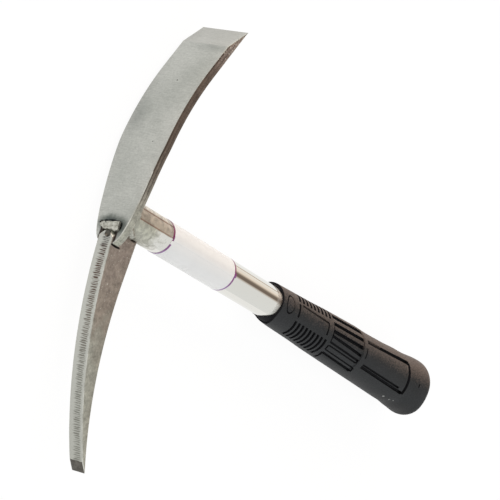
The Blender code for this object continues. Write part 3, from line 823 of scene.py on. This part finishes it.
scale_tone = add("ValToRGB", height, stops=(
    (0.0, "#606160"), (0.05, "#676663"), (0.1, "#5F4F47"), (0.2, "#64544B"), (0.36, "#7A736A"),
    (0.6, "#8A8A82"), (1.0, "#8C8C84"),
))
bare_tone = add("ValToRGB", height, stops=(
    (0.0, "#B9BAB3"), (0.2, "#C0C1BA"), (0.5, "#BDBEB7"), (1.0, "#B5B6AE"),
))
colour = add("Mix", burnt, bare_tone, scale_tone, data_type="RGBA")
rough = add("MapRange", burnt, 0.0, 1.0, 0.38, 0.6)
relief = add("Bump", Height=burnt, Strength=0.5, Distance=0.25 * MM, invert=True)
feed(shader, {"Base Color": colour, "Roughness": rough, "Metallic": 0.9, "Normal": relief})
tip_and_hollow_steel = ground_steel("mild_steel_tip_ground_and_hollow_shade", "#6A6761", "#55524C", 3)[0]
end(pick, [skin_steel, torch_steel, worn_steel, tip_and_hollow_steel], ["pick_blade"])

# %% [markdown]
# ## The tube
#
# The handle is a welded stainless tube, polished until it mirrors the room. A cylinder
# of many sides is given its wall, and its ends are deburred. Only its first hundred
# millimetres show: the label and the grip cover the rest.

# %% The tube
TUBE_WALL, TUBE_SIDES = 1.5, 160
tube_length = tube_high.x - tube_low.x
tube = start(
    "steel_tube", bpy.ops.mesh.primitive_cylinder_add, vertices=TUBE_SIDES, radius=TUBE_RADIUS,
    depth=tube_length, end_fill_type="NOTHING", rotation=(0, math.radians(90), 0),
    location=((tube_low.x + tube_high.x) / 2, ORIGIN.y, ORIGIN.z),
)
bpy.ops.mesh.normals_make_consistent(inside=False)
mode("OBJECT")
modify("SOLIDIFY", thickness=TUBE_WALL * MM, offset=-1.0, use_rim=True)
mode("EDIT")
print("tube:", round(tube_length / MM, 1), "mm long,", break_edges(0.25), "rim edges deburred")
mode("OBJECT")

# %% [markdown]
# Polished stainless steel has a slightly warm white reflection and almost no blur.
# Close to the weld the heat has clouded it with a matt, tinted film of oxide, whose edge towards
# the label is ragged. Painted reflections of the studio lie on that film: grey-green below
# and beige above, with a brown line along each side of the beige. A dull film where the
# grip was pushed on is painted with the same reflections. Fine polishing lines run round the clean
# steel.

# %% Polished stainless steel
stainless, add, shader, coordinates = new_material("stainless_steel_polished")
split = add("SeparateXYZ", coordinates)
cloud = add(
    "TexNoise", Vector=coordinates, Scale=1 / (7 * MM), Detail=4.0, Roughness=0.6, Distortion=0.8,
)
along_tube = add("MapRange", split.outputs["X"], place(0).x, place(40).x)
reach = add("ValToRGB", along_tube, stops=(
    (0.0, "#FFFFFF"), (0.4, "#E4E4E4"), (0.65, "#A8A8A8"), (0.85, "#7C7C7C"), (1.0, "#484848"),
))
upper = add("MapRange", split.outputs["Y"], place(0, -1).y, place(0, 0).y, 0.0, 0.42)
upto = add("MapRange", split.outputs["X"], place(39).x, place(45).x, 1.0, 0.0)
upper = add("Math", upper, upto, operation="MULTIPLY")
stain = add("Math", cloud, reach, operation="ADD")
stain = add("Math", stain, upper, operation="ADD")
stain = add("MapRange", stain, 0.72, 1.12, interpolation_type="SMOOTHSTEP")
height = add("MapRange", split.outputs["Y"], place(0, -12).y, place(0, 12).y)
HEAT_AND_REFLECTION = (          # the oxide's heat tint with painted reflections of the studio, from the tube's lower side to its upper side
    (0.0, "#BEBDB1"), (0.3, "#ADAEA1"), (0.48, "#A8A89B"), (0.49, "#7C6456"), (0.51, "#846D5E"),
    (0.53, "#A2998B"), (0.76, "#A89F93"), (0.775, "#7A6153"), (0.795, "#826C5C"), (0.82, "#C6C1B7"),
    (1.0, "#D9D8D2"),
)
# Painted reflection: the tint changes with height, and its two brown lines lie where the studio's brown
# stripes reflect.
heat_and_reflection = add("ValToRGB", height, stops=HEAT_AND_REFLECTION)
blots = add("TexNoise", Vector=coordinates, Scale=1 / (2.5 * MM), Detail=4.0, Roughness=0.65)
shade = add("MapRange", blots, 0.3, 0.7, 0.82, 1.16)
heat_and_reflection = add("VectorMath", heat_and_reflection, shade, operation="MULTIPLY")
pale = add("MapRange", cloud, 0.42, 0.55, 1.36, 0.94)
heat_and_reflection = add("VectorMath", heat_and_reflection, pale, operation="MULTIPLY")
colour = add("Mix", stain, linear("#E3E2DC"), heat_and_reflection, data_type="RGBA")
MOUTH_REFLECTION = (          # painted reflections of the studio on a dull film at the grip's mouth, from the middle upwards
    (0.0, "#E2E3DD"), (0.44, "#E4E4DE"), (0.49, "#C4BCB1"), (0.54, "#8E8075"), (0.59, "#95877B"),
    (0.65, "#E6D9CC"), (0.72, "#F2EADF"), (0.79, "#E2D5C9"), (0.86, "#EDEDE9"), (1.0, "#F6F7F5"),
)
# Painted reflection: the dull film at the grip's mouth takes the colours of the tube's reflections, by
# height.
mouth_reflection_tone = add("ValToRGB", height, stops=MOUTH_REFLECTION)
dull_film = add("MapRange", split.outputs["X"], place(160).x, place(163).x, 0.0, 0.9)
colour = add("Mix", dull_film, colour, mouth_reflection_tone, data_type="RGBA")
stain = add("Math", stain, dull_film, operation="MAXIMUM")
rough = add("MapRange", stain, 0.0, 1.0, 0.05, 0.42)
bare = add("MapRange", stain, 0.0, 1.0, 1.0, 0.15)
polish = add("Mapping", Vector=coordinates, Scale=[1 / (size * MM) for size in (0.35, 8, 8)])
polish = add("TexNoise", Vector=polish, Scale=1.0, Detail=2.0)
relief = add("Bump", Height=polish, Strength=0.05, Distance=0.02 * MM)
feed(shader, {"Base Color": colour, "Roughness": rough, "Metallic": bare, "Normal": relief})
end(tube, [stainless], ["handle_tube"])

# %% [markdown]
# ## The label
#
# A strip of printed film goes once round the tube, and its end laps over its start. It
# is a straight line spun round the axis, lifted a hair near the end of the turn, and
# spun a little further for the lap. Hand wrapping is never quite square, so the end
# stands slightly beside the start. Two cuts part off the coloured lines at the ends.

# %% The label's wrap
LABEL_START, LABEL_END, END_LINE = 38.1, 109.4, 1.6
LABEL_MIDDLE, LABEL_LENGTH = (LABEL_START + LABEL_END) / 2, LABEL_END - LABEL_START
FILM_THICKNESS = 0.12
LABEL_LIFT = 0.05                    # how far the film's start stands off the tube
LAP_STEP, LAP_TURN, SKEW = 0.16, 15, 0.8
RUBBED_FROM, RUBBED_TO = -20, -8     # degrees round the tube where the ink rubbed off
label = start("label_film", bpy.ops.mesh.primitive_plane_add, size=1.0)
scale((LABEL_LENGTH * MM, 0.001 * MM, 1))
carry(place(LABEL_MIDDLE, 0, TUBE_RADIUS / MM + LABEL_LIFT) / MM)
bpy.ops.mesh.remove_doubles(threshold=0.01 * MM)
bpy.ops.mesh.spin(steps=148, angle=math.radians(355), center=ORIGIN, axis=(1, 0, 0))
push((SKEW, 0, LAP_STEP))
bpy.ops.mesh.spin(steps=6, angle=math.radians(LAP_TURN), center=ORIGIN, axis=(1, 0, 0))
for cut_at in (LABEL_START + END_LINE, LABEL_END - END_LINE):
    take_all()
    bpy.ops.mesh.bisect(plane_co=place(cut_at), plane_no=(1, 0, 0))


def label_finish(face):
    """Ink on the two end lines, apart from the rubbed place on the first one."""
    point = in_mm(face.calc_center_median())
    turned = math.degrees(math.atan2(point.y, point.z))
    rubbed = point.x < LABEL_MIDDLE and RUBBED_FROM < turned < RUBBED_TO
    return int(abs(point.x - LABEL_MIDDLE) > LABEL_LENGTH / 2 - END_LINE and not rubbed)


print("label faces by finish:", finish_faces(label_finish))
close_up()
outward = sum((face.center - ORIGIN).dot(face.normal) for face in label.data.polygons) > 0
print("label faces outwards:", outward)
modify("SOLIDIFY", thickness=FILM_THICKNESS * MM, offset=1.0 if outward else -1.0)

# %% [markdown]
# The film is white polypropylene with a satin varnish. Its colour shows as written and
# the varnish adds a soft gleam. It is plain white between its two purple end lines, and
# has gone very slightly grey where hands have held it.

# %% Label film and its end lines
film, add, shader, coordinates = new_material("polypropylene_film_varnished")
smudge = add("TexNoise", Vector=coordinates, Scale=1 / (14 * MM), Detail=4.0)
tone = add("ValToRGB", smudge, stops=((0.3, "#F1F2F2"), (0.6, "#F5F6F6")))
gloss = add("MapRange", smudge, 0.0, 1.0, 0.3, 0.22)
feed(shader, {"Base Color": tone, "Roughness": gloss, "IOR": 1.49})
ink, add, shader, coordinates = new_material("purple_ink_on_film")
ink_shading = add("TexNoise", Vector=coordinates, Scale=1 / (5 * MM), Detail=2.0)
# Painted light and shade: the purple is darker towards the tube's upper side and paler towards its
# lower side.
height = add("SeparateXYZ", coordinates).outputs["Y"]
height = add("MapRange", height, place(0, -10).y, place(0, 8).y, -0.2, 0.8)
ink_shading = add("Math", ink_shading, height, operation="ADD")
tone = add("ValToRGB", ink_shading, stops=((0.35, "#9E7AAC"), (0.7, "#8A4A8A"), (1.0, "#84305F")))
feed(shader, {"Base Color": tone, "Roughness": 0.33})
end(label, [film, ink], ["label"])

# %% [markdown]
# ## The grip
#
# The grip is moulded rubber. Its body is a ring pulled out along the handle, a short
# length at a time, while it widens into a slender cone and then swells into the
# rounded butt. The bore for the tube is made in the same way, from the mouth inwards.

# %% The grip's body
GRIP_SIDES = 144
MOUTH, BUTT, GRIP_END = 164.9, 330.9, 361.9
MOUTH_RADIUS = 13.4
RIM_RADIUS = MOUTH_RADIUS - 0.35
TAPER = 0.0297           # growth of the radius along the cone
MIDDLE_SWELL, BUTT_SWELL = 0.35, 1.67
BUTT_ROUND = 5.9
BUTT_STRAIGHT = 7.5      # the end past the swell, which keeps its width
BORE_RADIUS, BORE_END = 11.4, 353.9
LIP_RING = 3             # this ring of the bore becomes the lip's edge later
FLUTES_FROM, FLUTES_TO = 226.8, 267.3


def smooth_step(value):
    value = min(1.0, max(0.0, value))
    return value * value * (3 - 2 * value)


def grip_radius(x):
    """The grip's outer radius in millimetres: a cone, fuller at its middle, and a swell."""
    if x <= BUTT:
        full = MIDDLE_SWELL * (smooth_step((x - 205) / 22) - smooth_step((x - 305) / 22))
        return MOUTH_RADIUS + TAPER * (x - MOUTH) + full
    run = GRIP_END - BUTT_STRAIGHT - BUTT
    share = min(1.0, (x - BUTT) / run)
    swell = BUTT_SWELL * share ** 2 * (3 - 2 * share)
    return grip_radius(BUTT) + TAPER * run * share * (1 - share) ** 2 + swell


def grip_section():
    """Places along the handle with the grip's radius there, from the mouth to the butt's middle."""
    points = [(MOUTH + 0.1, MOUTH_RADIUS - 0.1), (MOUTH + 0.35, MOUTH_RADIUS)]
    stations = [MOUTH + 1.0 + 2.3 * step for step in range(83)]
    stations += [FLUTES_FROM - 0.2, FLUTES_FROM + 0.1, FLUTES_TO - 0.1, FLUTES_TO + 0.2]
    points += [(x, grip_radius(x)) for x in sorted(stations)]
    top = grip_radius(GRIP_END)
    for step in range(10):
        corner = math.radians(10 * step)
        points.append((
            GRIP_END - BUTT_ROUND + BUTT_ROUND * math.sin(corner),
            top - BUTT_ROUND + BUTT_ROUND * math.cos(corner),
        ))
    points += [(GRIP_END, 9.0), (GRIP_END, 4.0)]
    return points


def draw_rings(last_x, last_radius, rings):
    """Draws a ring on through places along the handle, with a radius at each, and closes it."""
    for x, radius in rings:
        push((x - last_x, 0, 0))
        scale((1, radius / last_radius, radius / last_radius), ORIGIN)
        last_x, last_radius = x, radius
    bpy.ops.mesh.edge_face_add()
    return last_x


grip = start(
    "rubber_grip", bpy.ops.mesh.primitive_circle_add, vertices=GRIP_SIDES,
    radius=RIM_RADIUS * MM, rotation=(0, math.radians(90), 0), location=place(MOUTH),
)
print("grip drawn to", round(draw_rings(MOUTH, RIM_RADIUS, grip_section()), 1), "mm")
rim = choose("EDGE", lambda edge: all(abs(in_mm(vert.co).x - MOUTH) < 0.01 for vert in edge.verts))
draw_rings(MOUTH, RIM_RADIUS, (
    (MOUTH, BORE_RADIUS + 1.0), (MOUTH + LIP_RING, BORE_RADIUS), (MOUTH + 15, BORE_RADIUS),
    (260, BORE_RADIUS), (BORE_END, BORE_RADIUS),
))
close_up()
print("rim points:", rim, "faces:", len(grip.data.polygons))

# %% [markdown]
# A grip isn't quite round. Its mouth is cut back on a slant, and a thin lip of rubber
# stays on the tube there. The flutes lie in a shallow bed. The butt's corner is nearly
# sharp on the lower side, and the upper side draws in a little ahead of the butt. All of
# that is made by moving the points that the body already has.

# %% The slanting mouth, the flutes' shallow bed and the butt's fuller corner
FLUTE_RECESS = 0.5
LOWER_ROUND = 0.6        # the rounding of the butt's corner on its lower side
UPPER_WAIST = 0.7        # how far the upper side draws in ahead of the butt
PANEL_SWELL = 0.4        # how much fuller the lower side is where the butt begins
CORNER_SWELL = 0.6       # and how much at the butt's end
TRIM = 7.5               # how far the mouth is cut back where the cut is deepest
TRIM_ANGLE = -107        # and where that is, in degrees round the grip
TRIM_WIDE, TRIM_LONG = 80, 14        # degrees round and millimetres along that the cut moves
LIP_START = 161.0        # where the lip begins on that side


def drawn_in(x, rounding):
    """How far a rounding of the grip's end has drawn the skin in at a place."""
    into = min(rounding, max(0.0, x - GRIP_END + rounding))
    return rounding - math.sqrt(rounding ** 2 - into ** 2)


def skin_lift(point):
    """How far the grip's skin stands out from its round outline at a point, in millimetres."""
    radius = math.hypot(point.y, point.z)
    lift = 0.0
    if FLUTES_FROM < point.x < FLUTES_TO:
        side_angle = math.degrees(math.atan2(point.y, abs(point.z)))
        bed = FLUTE_RECESS * smooth_step((side_angle + 66) / 10)
        lift -= bed * smooth_step((72 - side_angle) / 14)
    lower, upper = smooth_step(-point.y / radius), smooth_step(point.y / radius)
    lift += lower * (drawn_in(point.x, BUTT_ROUND) - drawn_in(point.x, LOWER_ROUND))
    fuller = smooth_step((point.x - 305) / 22) - smooth_step((point.x - 328) / 12)
    lift += PANEL_SWELL * lower * fuller
    lift += CORNER_SWELL * lower * smooth_step((point.x - 352) / 8)
    drawn = smooth_step((point.x - 262) / 20) - smooth_step((point.x - 304) / 18)
    lift -= UPPER_WAIST * upper * drawn
    return lift * min(1.0, radius / 13.5)


def lip_start(turned):
    """Where the lip begins, by how far round the grip it is from the deepest cut."""
    lip = LIP_START + 3.9 * smooth_step((turned - 30) / 45) + 1.4 * smooth_step((turned - 85) / 40)
    return lip - 3.5 * smooth_step((turned - 140) / 25)


for vert in grip.data.vertices:
    point = in_mm(vert.co)
    radius = math.hypot(point.y, point.z)
    turned = math.degrees(math.atan2(point.y, point.z)) + (180 - TRIM_ANGLE)
    turned = abs(turned % 360 - 180)
    if abs(point.x - MOUTH - LIP_RING) < 0.1 and radius < BORE_RADIUS + 0.1:
        vert.co = place(lip_start(turned), point.y, point.z)
        continue
    fading = max(0.0, 1 - (point.x - MOUTH) / TRIM_LONG)
    point.x += TRIM * smooth_step(1 - turned / TRIM_WIDE) * fading
    if radius < BORE_RADIUS + 1.1:
        vert.co = place(*point)
        continue
    lift = skin_lift(point)
    vert.co = place(point.x, point.y * (1 + lift / radius), point.z * (1 + lift / radius))
print("deepest bed:", FLUTE_RECESS, "mm, fullest corner:", round(BUTT_ROUND - LOWER_ROUND, 1), "mm")

# %% [markdown]
# ### The grip's grooves
#
# The mould gives the grip ribs, flutes and a framed panel, and all of them are
# grooves that follow its round skin. One groove is a bar with a wedge-shaped section.
# It is drawn out in short steps, and each step moves along the handle, turns round
# it and grows with the cone. Bars are then cut out of the body, all at once.

# %% Grooves
GROOVE_LIFT = 0.7        # how far a bar stands out of the skin
FLARE = 0.15             # how much wider it is up there than at the skin
STEP_TURN, STEP_RUN = 6, 20      # the longest step, in degrees and in millimetres
grooves = []


def groove(kind, x0, angle0, x1, angle1, half_width, depth, narrow=0.72):
    """A bar from one place and angle on the grip to another; kind is round or along."""
    bar = start("groove", bpy.ops.mesh.primitive_plane_add, size=1.0)
    turn(90, "X" if kind == "round" else "Y")
    tall = GROOVE_LIFT + depth
    wide = 2 * half_width * (1 + FLARE * GROOVE_LIFT / depth)
    scale(Vector((wide, wide, tall)) * MM)
    choose("VERT", lambda vert: vert.co.z < 0)
    scale((narrow, narrow, 1))
    take_all()
    carry(place(x0, 0, grip_radius(x0) + GROOVE_LIFT - tall / 2) / MM)
    turn(-angle0, "X", ORIGIN)
    steps = max(abs(angle1 - angle0) / STEP_TURN, abs(x1 - x0) / STEP_RUN)
    steps = max(1, math.ceil(steps))
    for step in range(steps):
        before = x0 + (x1 - x0) * step / steps
        after = x0 + (x1 - x0) * (step + 1) / steps
        growth = grip_radius(after) / grip_radius(before)
        push((after - before, 0, 0))
        turn(-(angle1 - angle0) / steps, "X", ORIGIN)
        scale((1, growth, growth), ORIGIN)
    close_up()
    grooves.append(bar)
    return bar


def copy_of(thing):
    """A copy with its own mesh, all of it taken in edit mode."""
    twin = thing.copy()
    twin.data = thing.data.copy()
    bpy.context.scene.collection.objects.link(twin)
    bpy.ops.object.select_all(action="DESELECT")
    twin.select_set(True)
    bpy.context.view_layer.objects.active = twin
    mode("EDIT")
    take_all()
    return twin


def cut_grooves():
    """Adds the bars' mirror images on the grip's other side, and cuts them all out of it."""
    for bar in list(grooves):
        twin = copy_of(bar)
        scale((1, 1, -1), ORIGIN)
        bpy.ops.mesh.flip_normals()
        mode("OBJECT")
        grooves.append(twin)
    count = len(grooves)
    join(grooves)
    bpy.ops.object.select_all(action="DESELECT")
    cut(grip, grooves[0], use_self=True)
    grooves.clear()
    return count


# %% Ribs
RIB_PITCH, RIBS = 4.65, 9
FIRST_RIB = 185.0
for first_angle, last_angle in ((-20, -79), (36, 88)):
    rib = groove("round", FIRST_RIB, first_angle, FIRST_RIB + 4.3, last_angle, 1.3, 1.7)
    for index in range(1, RIBS):
        twin = copy_of(rib)
        growth = grip_radius(FIRST_RIB + index * RIB_PITCH) / grip_radius(FIRST_RIB)
        carry((index * RIB_PITCH, 0, 0))
        scale((1, growth, growth), ORIGIN)
        mode("OBJECT")
        grooves.append(twin)
print("ribs cut:", cut_grooves())

# %% Flutes
FLUTES = (       # start along the handle, angle, end, angle, half width, depth
    (227.0, 53.5, 267.0, 53.5, 2.2, 2.8), (227.0, 29.5, 266.6, 29.5, 1.45, 2.5),
    (227.0, 9.5, 266.6, 9.5, 1.35, 2.4), (227.2, -3.0, 266.6, -9.8, 1.05, 2.2),
    (228.0, -19.5, 267.0, -24.0, 0.8, 1.7), (229.6, -28.5, 266.0, -31.5, 0.6, 1.4),
    (230.1, -43.0, 268.0, -46.0, 0.6, 1.4), (231.0, -54.5, 269.0, -57.5, 1.1, 1.7),
)
STEPS = (        # the same, for the steps at the flutes' two ends
    (226.9, 50.0, 228.5, -20.0, 0.6, 1.5), (229.1, -28.5, 229.7, -43.0, 0.9, 1.7),
    (230.7, -54.0, 234.9, -86.0, 1.1, 1.4), (266.7, 31.0, 266.7, 9.0, 0.5, 1.6),
    (265.9, -22.5, 266.3, -32.0, 0.9, 1.7), (268.2, -45.0, 269.7, -58.5, 1.0, 1.6),
)
for sizes in FLUTES:
    groove("along", *sizes)
for sizes in STEPS:
    groove("round", *sizes)
print("flutes and steps cut:", cut_grooves())

# %% The long panel's frame and the small plate's
for sizes in (
    (271.6, 31.5, 329.0, 36.0, 1.6, 1.9), (273.0, -32.0, 331.2, -35.0, 1.1, 1.5),
    (273.2, -25.5, 324.2, -27.5, 0.7, 1.2), (188.0, 29.0, 220.0, 21.5, 0.75, 1.1),
):
    groove("along", *sizes)
for sizes in (
    (328.6, 37.2, 331.9, -36.3, 1.6, 1.9), (271.2, 14.0, 271.4, -11.0, 0.55, 0.9),
    (184.4, 29.0, 184.6, -9.0, 0.95, 1.3), (220.2, 22.0, 220.4, -10.0, 0.75, 1.1),
):
    groove("round", *sizes)
print("frames cut:", cut_grooves())

# %% The plain ring on the collar
RING_CENTRE, RING_ANGLE = 173.6, 13.0
RING_LONG, RING_ROUND, RING_DEPTH = 4.3, 5.9, 0.8
LINE_SHARE = 0.11        # half the line's width, as a share of the ring's size
ring = start(
    "ring", bpy.ops.mesh.primitive_torus_add, major_radius=1.0, minor_radius=LINE_SHARE,
    major_segments=64, minor_segments=8,
)
scale((RING_LONG, RING_ROUND, RING_DEPTH / LINE_SHARE))
mode("OBJECT")
for vert in ring.data.vertices:          # the flat ring is wrapped round the grip
    x = RING_CENTRE + vert.co.x
    turned = RING_ANGLE + math.degrees(vert.co.y / grip_radius(x))
    vert.co = round_axis(x, grip_radius(x) + vert.co.z, turned)
mode("EDIT")
close_up()
grooves.append(ring)
print("rings cut:", cut_grooves())

# %% The gate mark
GATE = 344.2
gate_place = round_axis(GATE, grip_radius(GATE), -1)
cut(grip, drop("gate", gate_place, (0.75, 1.5, 1.2), segments=20, rings=12))
print("gate mark cut at", [round(value, 1) for value in in_mm(gate_place)])

# %% [markdown]
# The rubber is a black compound, faded to charcoal. It drinks most light, so its
# shapes show as soft sheen on the lands and as black in the grooves. The mould was
# spark-eroded, which leaves a fine grain, and dust and rubbing have paled it a little
# on the lands. A warm brown sheen is painted on its upper side and painted shade on
# its lower side, and small scuffs show near the butt. The end at the mouth, which was
# trimmed with a knife, and the grooves, which no hand reaches, are matt and nearly black:
# unrubbed rubber, darkened further as painted shade.

# %% Moulded rubber
rubber, add, shader, coordinates = new_material("rubber_moulded_charcoal")
dull_film = add("TexNoise", Vector=coordinates, Scale=1 / (16 * MM), Detail=5.0, Roughness=0.6)
GRAIN = 1.1              # millimetres, drawn coarser than the spark marks so that it shows
grain = add("TexNoise", Vector=coordinates, Scale=1 / (GRAIN * MM), Detail=3.0, Roughness=0.65)
tone = add("ValToRGB", dull_film, stops=((0.32, "#1F2224"), (0.68, "#282A2D")))
height = add("SeparateXYZ", coordinates).outputs["Y"]
# Painted sheen: the upper side is painted warm brown, where light from above gleams on the rubber.
painted_top_sheen = add("MapRange", height, place(0, -2).y, place(0, 14).y, -0.2, 1.05)
uneven = add("MapRange", grain, 0.3, 0.7, -0.3, 0.3)
painted_top_sheen = add("Math", painted_top_sheen, uneven, operation="ADD", use_clamp=True)
tone = add("Mix", painted_top_sheen, tone, linear("#62564F"), data_type="RGBA")
shade = add("MapRange", grain, 0.3, 0.7, 0.7, 1.35)
tone = add("VectorMath", tone, shade, operation="MULTIPLY")
# Painted shade: the grip's lower side is darker and cooler.
low = add("MapRange", height, place(0, -20).y, place(0, -10).y)
low = add("ValToRGB", low, stops=(
    (0.0, "#404448"), (0.12, "#5E6266"), (0.29, "#98A0A2"), (0.42, "#BBC1C1"), (0.6, "#D8DDDC"),
    (1.0, "#FFFFFF"),
))
tone = add("VectorMath", tone, low, operation="MULTIPLY")
for x, angle, size in ((322.5, -66, 0.67), (330.5, -65, 0.48), (334.0, -61, 0.38)):
    spot = add("VectorMath", coordinates, round_axis(x, grip_radius(x), angle), operation="DISTANCE")
    spot = add("Math", spot, size * MM, operation="DIVIDE")
    spot = add("Math", spot, grain, operation="MULTIPLY")
    scuff = add("Math", spot, 0.7, operation="LESS_THAN")
    tone = add("Mix", scuff, tone, linear("#9A9C9A"), data_type="RGBA")
gloss = add("MapRange", dull_film, 0.0, 1.0, 0.5, 0.66)
relief = add("Bump", Height=grain, Strength=0.6, Distance=0.15 * MM)
feed(shader, {
    "Base Color": tone, "Roughness": gloss, "IOR": 1.5, "Specular IOR Level": 0.27, "Normal": relief,
})

# %% Rubber that nothing has rubbed, darkened as painted shade for the grooves, the bore and the trimmed mouth
unrubbed_and_shaded_rubber, add, shader, coordinates = new_material("rubber_unrubbed_black_and_painted_shade")
crumbs = add("TexNoise", Vector=coordinates, Scale=1 / (0.9 * MM), Detail=3.0)
tone = add("ValToRGB", crumbs, stops=((0.35, "#101013"), (0.7, "#202024")))
feed(shader, {"Base Color": tone, "Roughness": 0.8, "Specular IOR Level": 0.15})
# Painted shade: the trimmed mouth face, the bore, the grooves and the gate mark take the nearly black
# rubber.
for face in grip.data.polygons:
    middle = in_mm(face.center)
    from_axis = math.hypot(middle.y, middle.z)
    trimmed = face.normal.x < -0.8 and middle.x < MOUTH + TRIM + 1
    inside = from_axis < BORE_RADIUS + 0.9 and middle.x < BORE_END - 0.1
    sunk = grip_radius(middle.x) + skin_lift(middle) - from_axis
    at_step = min(abs(middle.x - FLUTES_FROM), abs(middle.x - FLUTES_TO)) < 0.3
    in_groove = middle.x < 335 and sunk > (0.6 if at_step else 0.22)
    in_groove = in_groove or (middle - in_mm(gate_place)).length < 1.7 and sunk > 0.1
    face.material_index = int(trimmed or inside or in_groove)
end(grip, [rubber, unrubbed_and_shaded_rubber], ["grip"], angle=35)

# %% [markdown]
# ## The welds
#
# A hand-laid weld is a row of overlapping drops. Each drop starts as a ball, and copies
# of it are set along the joint. A voxel remesh melts them into one skin, and a cloud
# pattern makes the skin uneven. The pad on the front was ground flat afterwards, so it
# is cut by a plane at the end.

# %% Melting drops together
lumps = bpy.data.textures.new("lumps", "CLOUDS")
lumps.noise_scale = 1.6 * MM
lumps.noise_depth = 2


def melt(voxel, uneven):
    """Makes one uneven skin of the active object's drops."""
    if bpy.context.object.mode == "EDIT":
        mode("OBJECT")
    modify("REMESH", mode="VOXEL", voxel_size=voxel * MM)
    modify("SMOOTH", factor=0.5, iterations=3)
    modify("DISPLACE", texture=lumps, texture_coords="LOCAL", strength=uneven * MM, mid_level=0.5)


# %% The ring of weld
BEAD_FROM, BEAD_TURN = -60, 300
BEAD_RADIUS, DROP_PITCH = 12, 1.35
ring_steps = round(math.radians(BEAD_TURN) * BEAD_RADIUS / DROP_PITCH)
ring_weld = drop("ring_weld", place(0.75, 0, 11.75), (1.35, 0.95, 1.15))
turn(-BEAD_FROM, "X", ORIGIN)
bpy.ops.mesh.spin(
    steps=ring_steps, dupli=True, angle=-math.radians(BEAD_TURN), center=ORIGIN, axis=(1, 0, 0),
)
print("drops in the ring:", ring_steps + 1)
melt(0.24, 0.5)

# %% The short runs beside the pick
CHEEK_DROPS = (       # place along the handle, distance from its axis, angle and half size
    (0.9, 12.6, -44, 2.2), (2.2, 12.9, -49, 2.6), (3.6, 13.0, -53, 2.8), (5.0, 12.8, -56, 2.6),
    (6.5, 12.4, -59, 2.2), (7.9, 12.0, -62, 1.8), (9.0, 11.6, -64, 1.3),
)
cheeks = []
for name, side in (("cheek_weld_near", 1), ("cheek_weld_far", -1)):
    drops = []
    for x, radius, angle, size in CHEEK_DROPS:
        drops.append(drop(name, round_axis(x, radius, angle), (size * 0.8, size, size)))
        if side < 0:
            scale((1, 1, -1), ORIGIN)
            bpy.ops.mesh.flip_normals()
        mode("OBJECT")
    join(drops)
    melt(0.24, 0.5)
    cheeks.append(drops[0])
print("cheek welds:", [len(bead.data.polygons) for bead in cheeks])

# %% The pad on the front
PAD_BACK, PAD_FRONT = -6.0, -8.1
PAD_RAISED = 2.3
PAD_ASIDE, PAD_UP = -1.5, -10      # the outline's middle
PAD = (            # the outline's corners, across the head and up
    (-8.0, -8.8), (6.4, -6.7), (7.2, -12.0), (5.2, -13.1), (0.5, -12.3), (-3.4, -12.8), (-7.2, -11.0),
)
pad = start(
    "front_weld_pad", bpy.ops.mesh.primitive_circle_add, vertices=len(PAD), radius=5 * MM,
    fill_type="NGON", rotation=(0, math.radians(90), 0), location=place(PAD_BACK, PAD_UP),
)
around = [(in_mm(vert.co), vert.index) for vert in bmesh.from_edit_mesh(pad.data).verts]
around.sort(key=lambda item: math.atan2(item[0].y - PAD_UP, item[0].z))
corners = sorted(PAD, key=lambda corner: math.atan2(corner[1] - PAD_UP, corner[0] - PAD_ASIDE))
for (point, index), (z, y) in zip(around, corners):
    choose("VERT", lambda vert: vert.index == index)
    carry(Vector((PAD_BACK, y, z)) - point)
take_all()
push((-PAD_RAISED, 0, 0))
take_all()
bpy.ops.mesh.normals_make_consistent(inside=False)
melt(0.22, 0.7)
mode("EDIT")
slice_off(place(PAD_FRONT), (-1, 0, 0))
mode("OBJECT")
print("pad faces:", len(pad.data.polygons))

# %% [markdown]
# Weld metal is paler than the plates and has a soft shine on its crests, with soot and
# slag left in the hollows between the drops.

# %% Weld steel
weld_steel, add, shader, coordinates = new_material("mild_steel_weld_bead")
cloud = add("TexNoise", Vector=coordinates, Scale=1 / (2.2 * MM), Detail=4.0, Roughness=0.6)
tone = add("ValToRGB", cloud, stops=((0.3, "#7D7A72"), (0.45, "#ABABA1"), (0.7, "#CFCFC6")))
rough = add("MapRange", cloud, 0.0, 1.0, 0.62, 0.3)
relief = add("Bump", Height=cloud, Strength=0.4, Distance=0.2 * MM)
feed(shader, {"Base Color": tone, "Roughness": rough, "Metallic": 0.9, "Normal": relief})
for weld, replaced, angle in (
    (ring_weld, "tube_weld", 60), (cheeks[0], "cheek_weld_upper", 60),
    (cheeks[1], "cheek_weld_lower", 60), (pad, "front_weld", 40),
):
    end(weld, [weld_steel], [replaced], angle)

# %% [markdown]
# ## The measured box
#
# The new pieces stay inside the measured model's box, since each is clamped into it when it ends. The
# measured box is printed.

# %% The measured box
print("measured box:", [[round(value / MM, 1) for value in corner] for corner in cad_box])
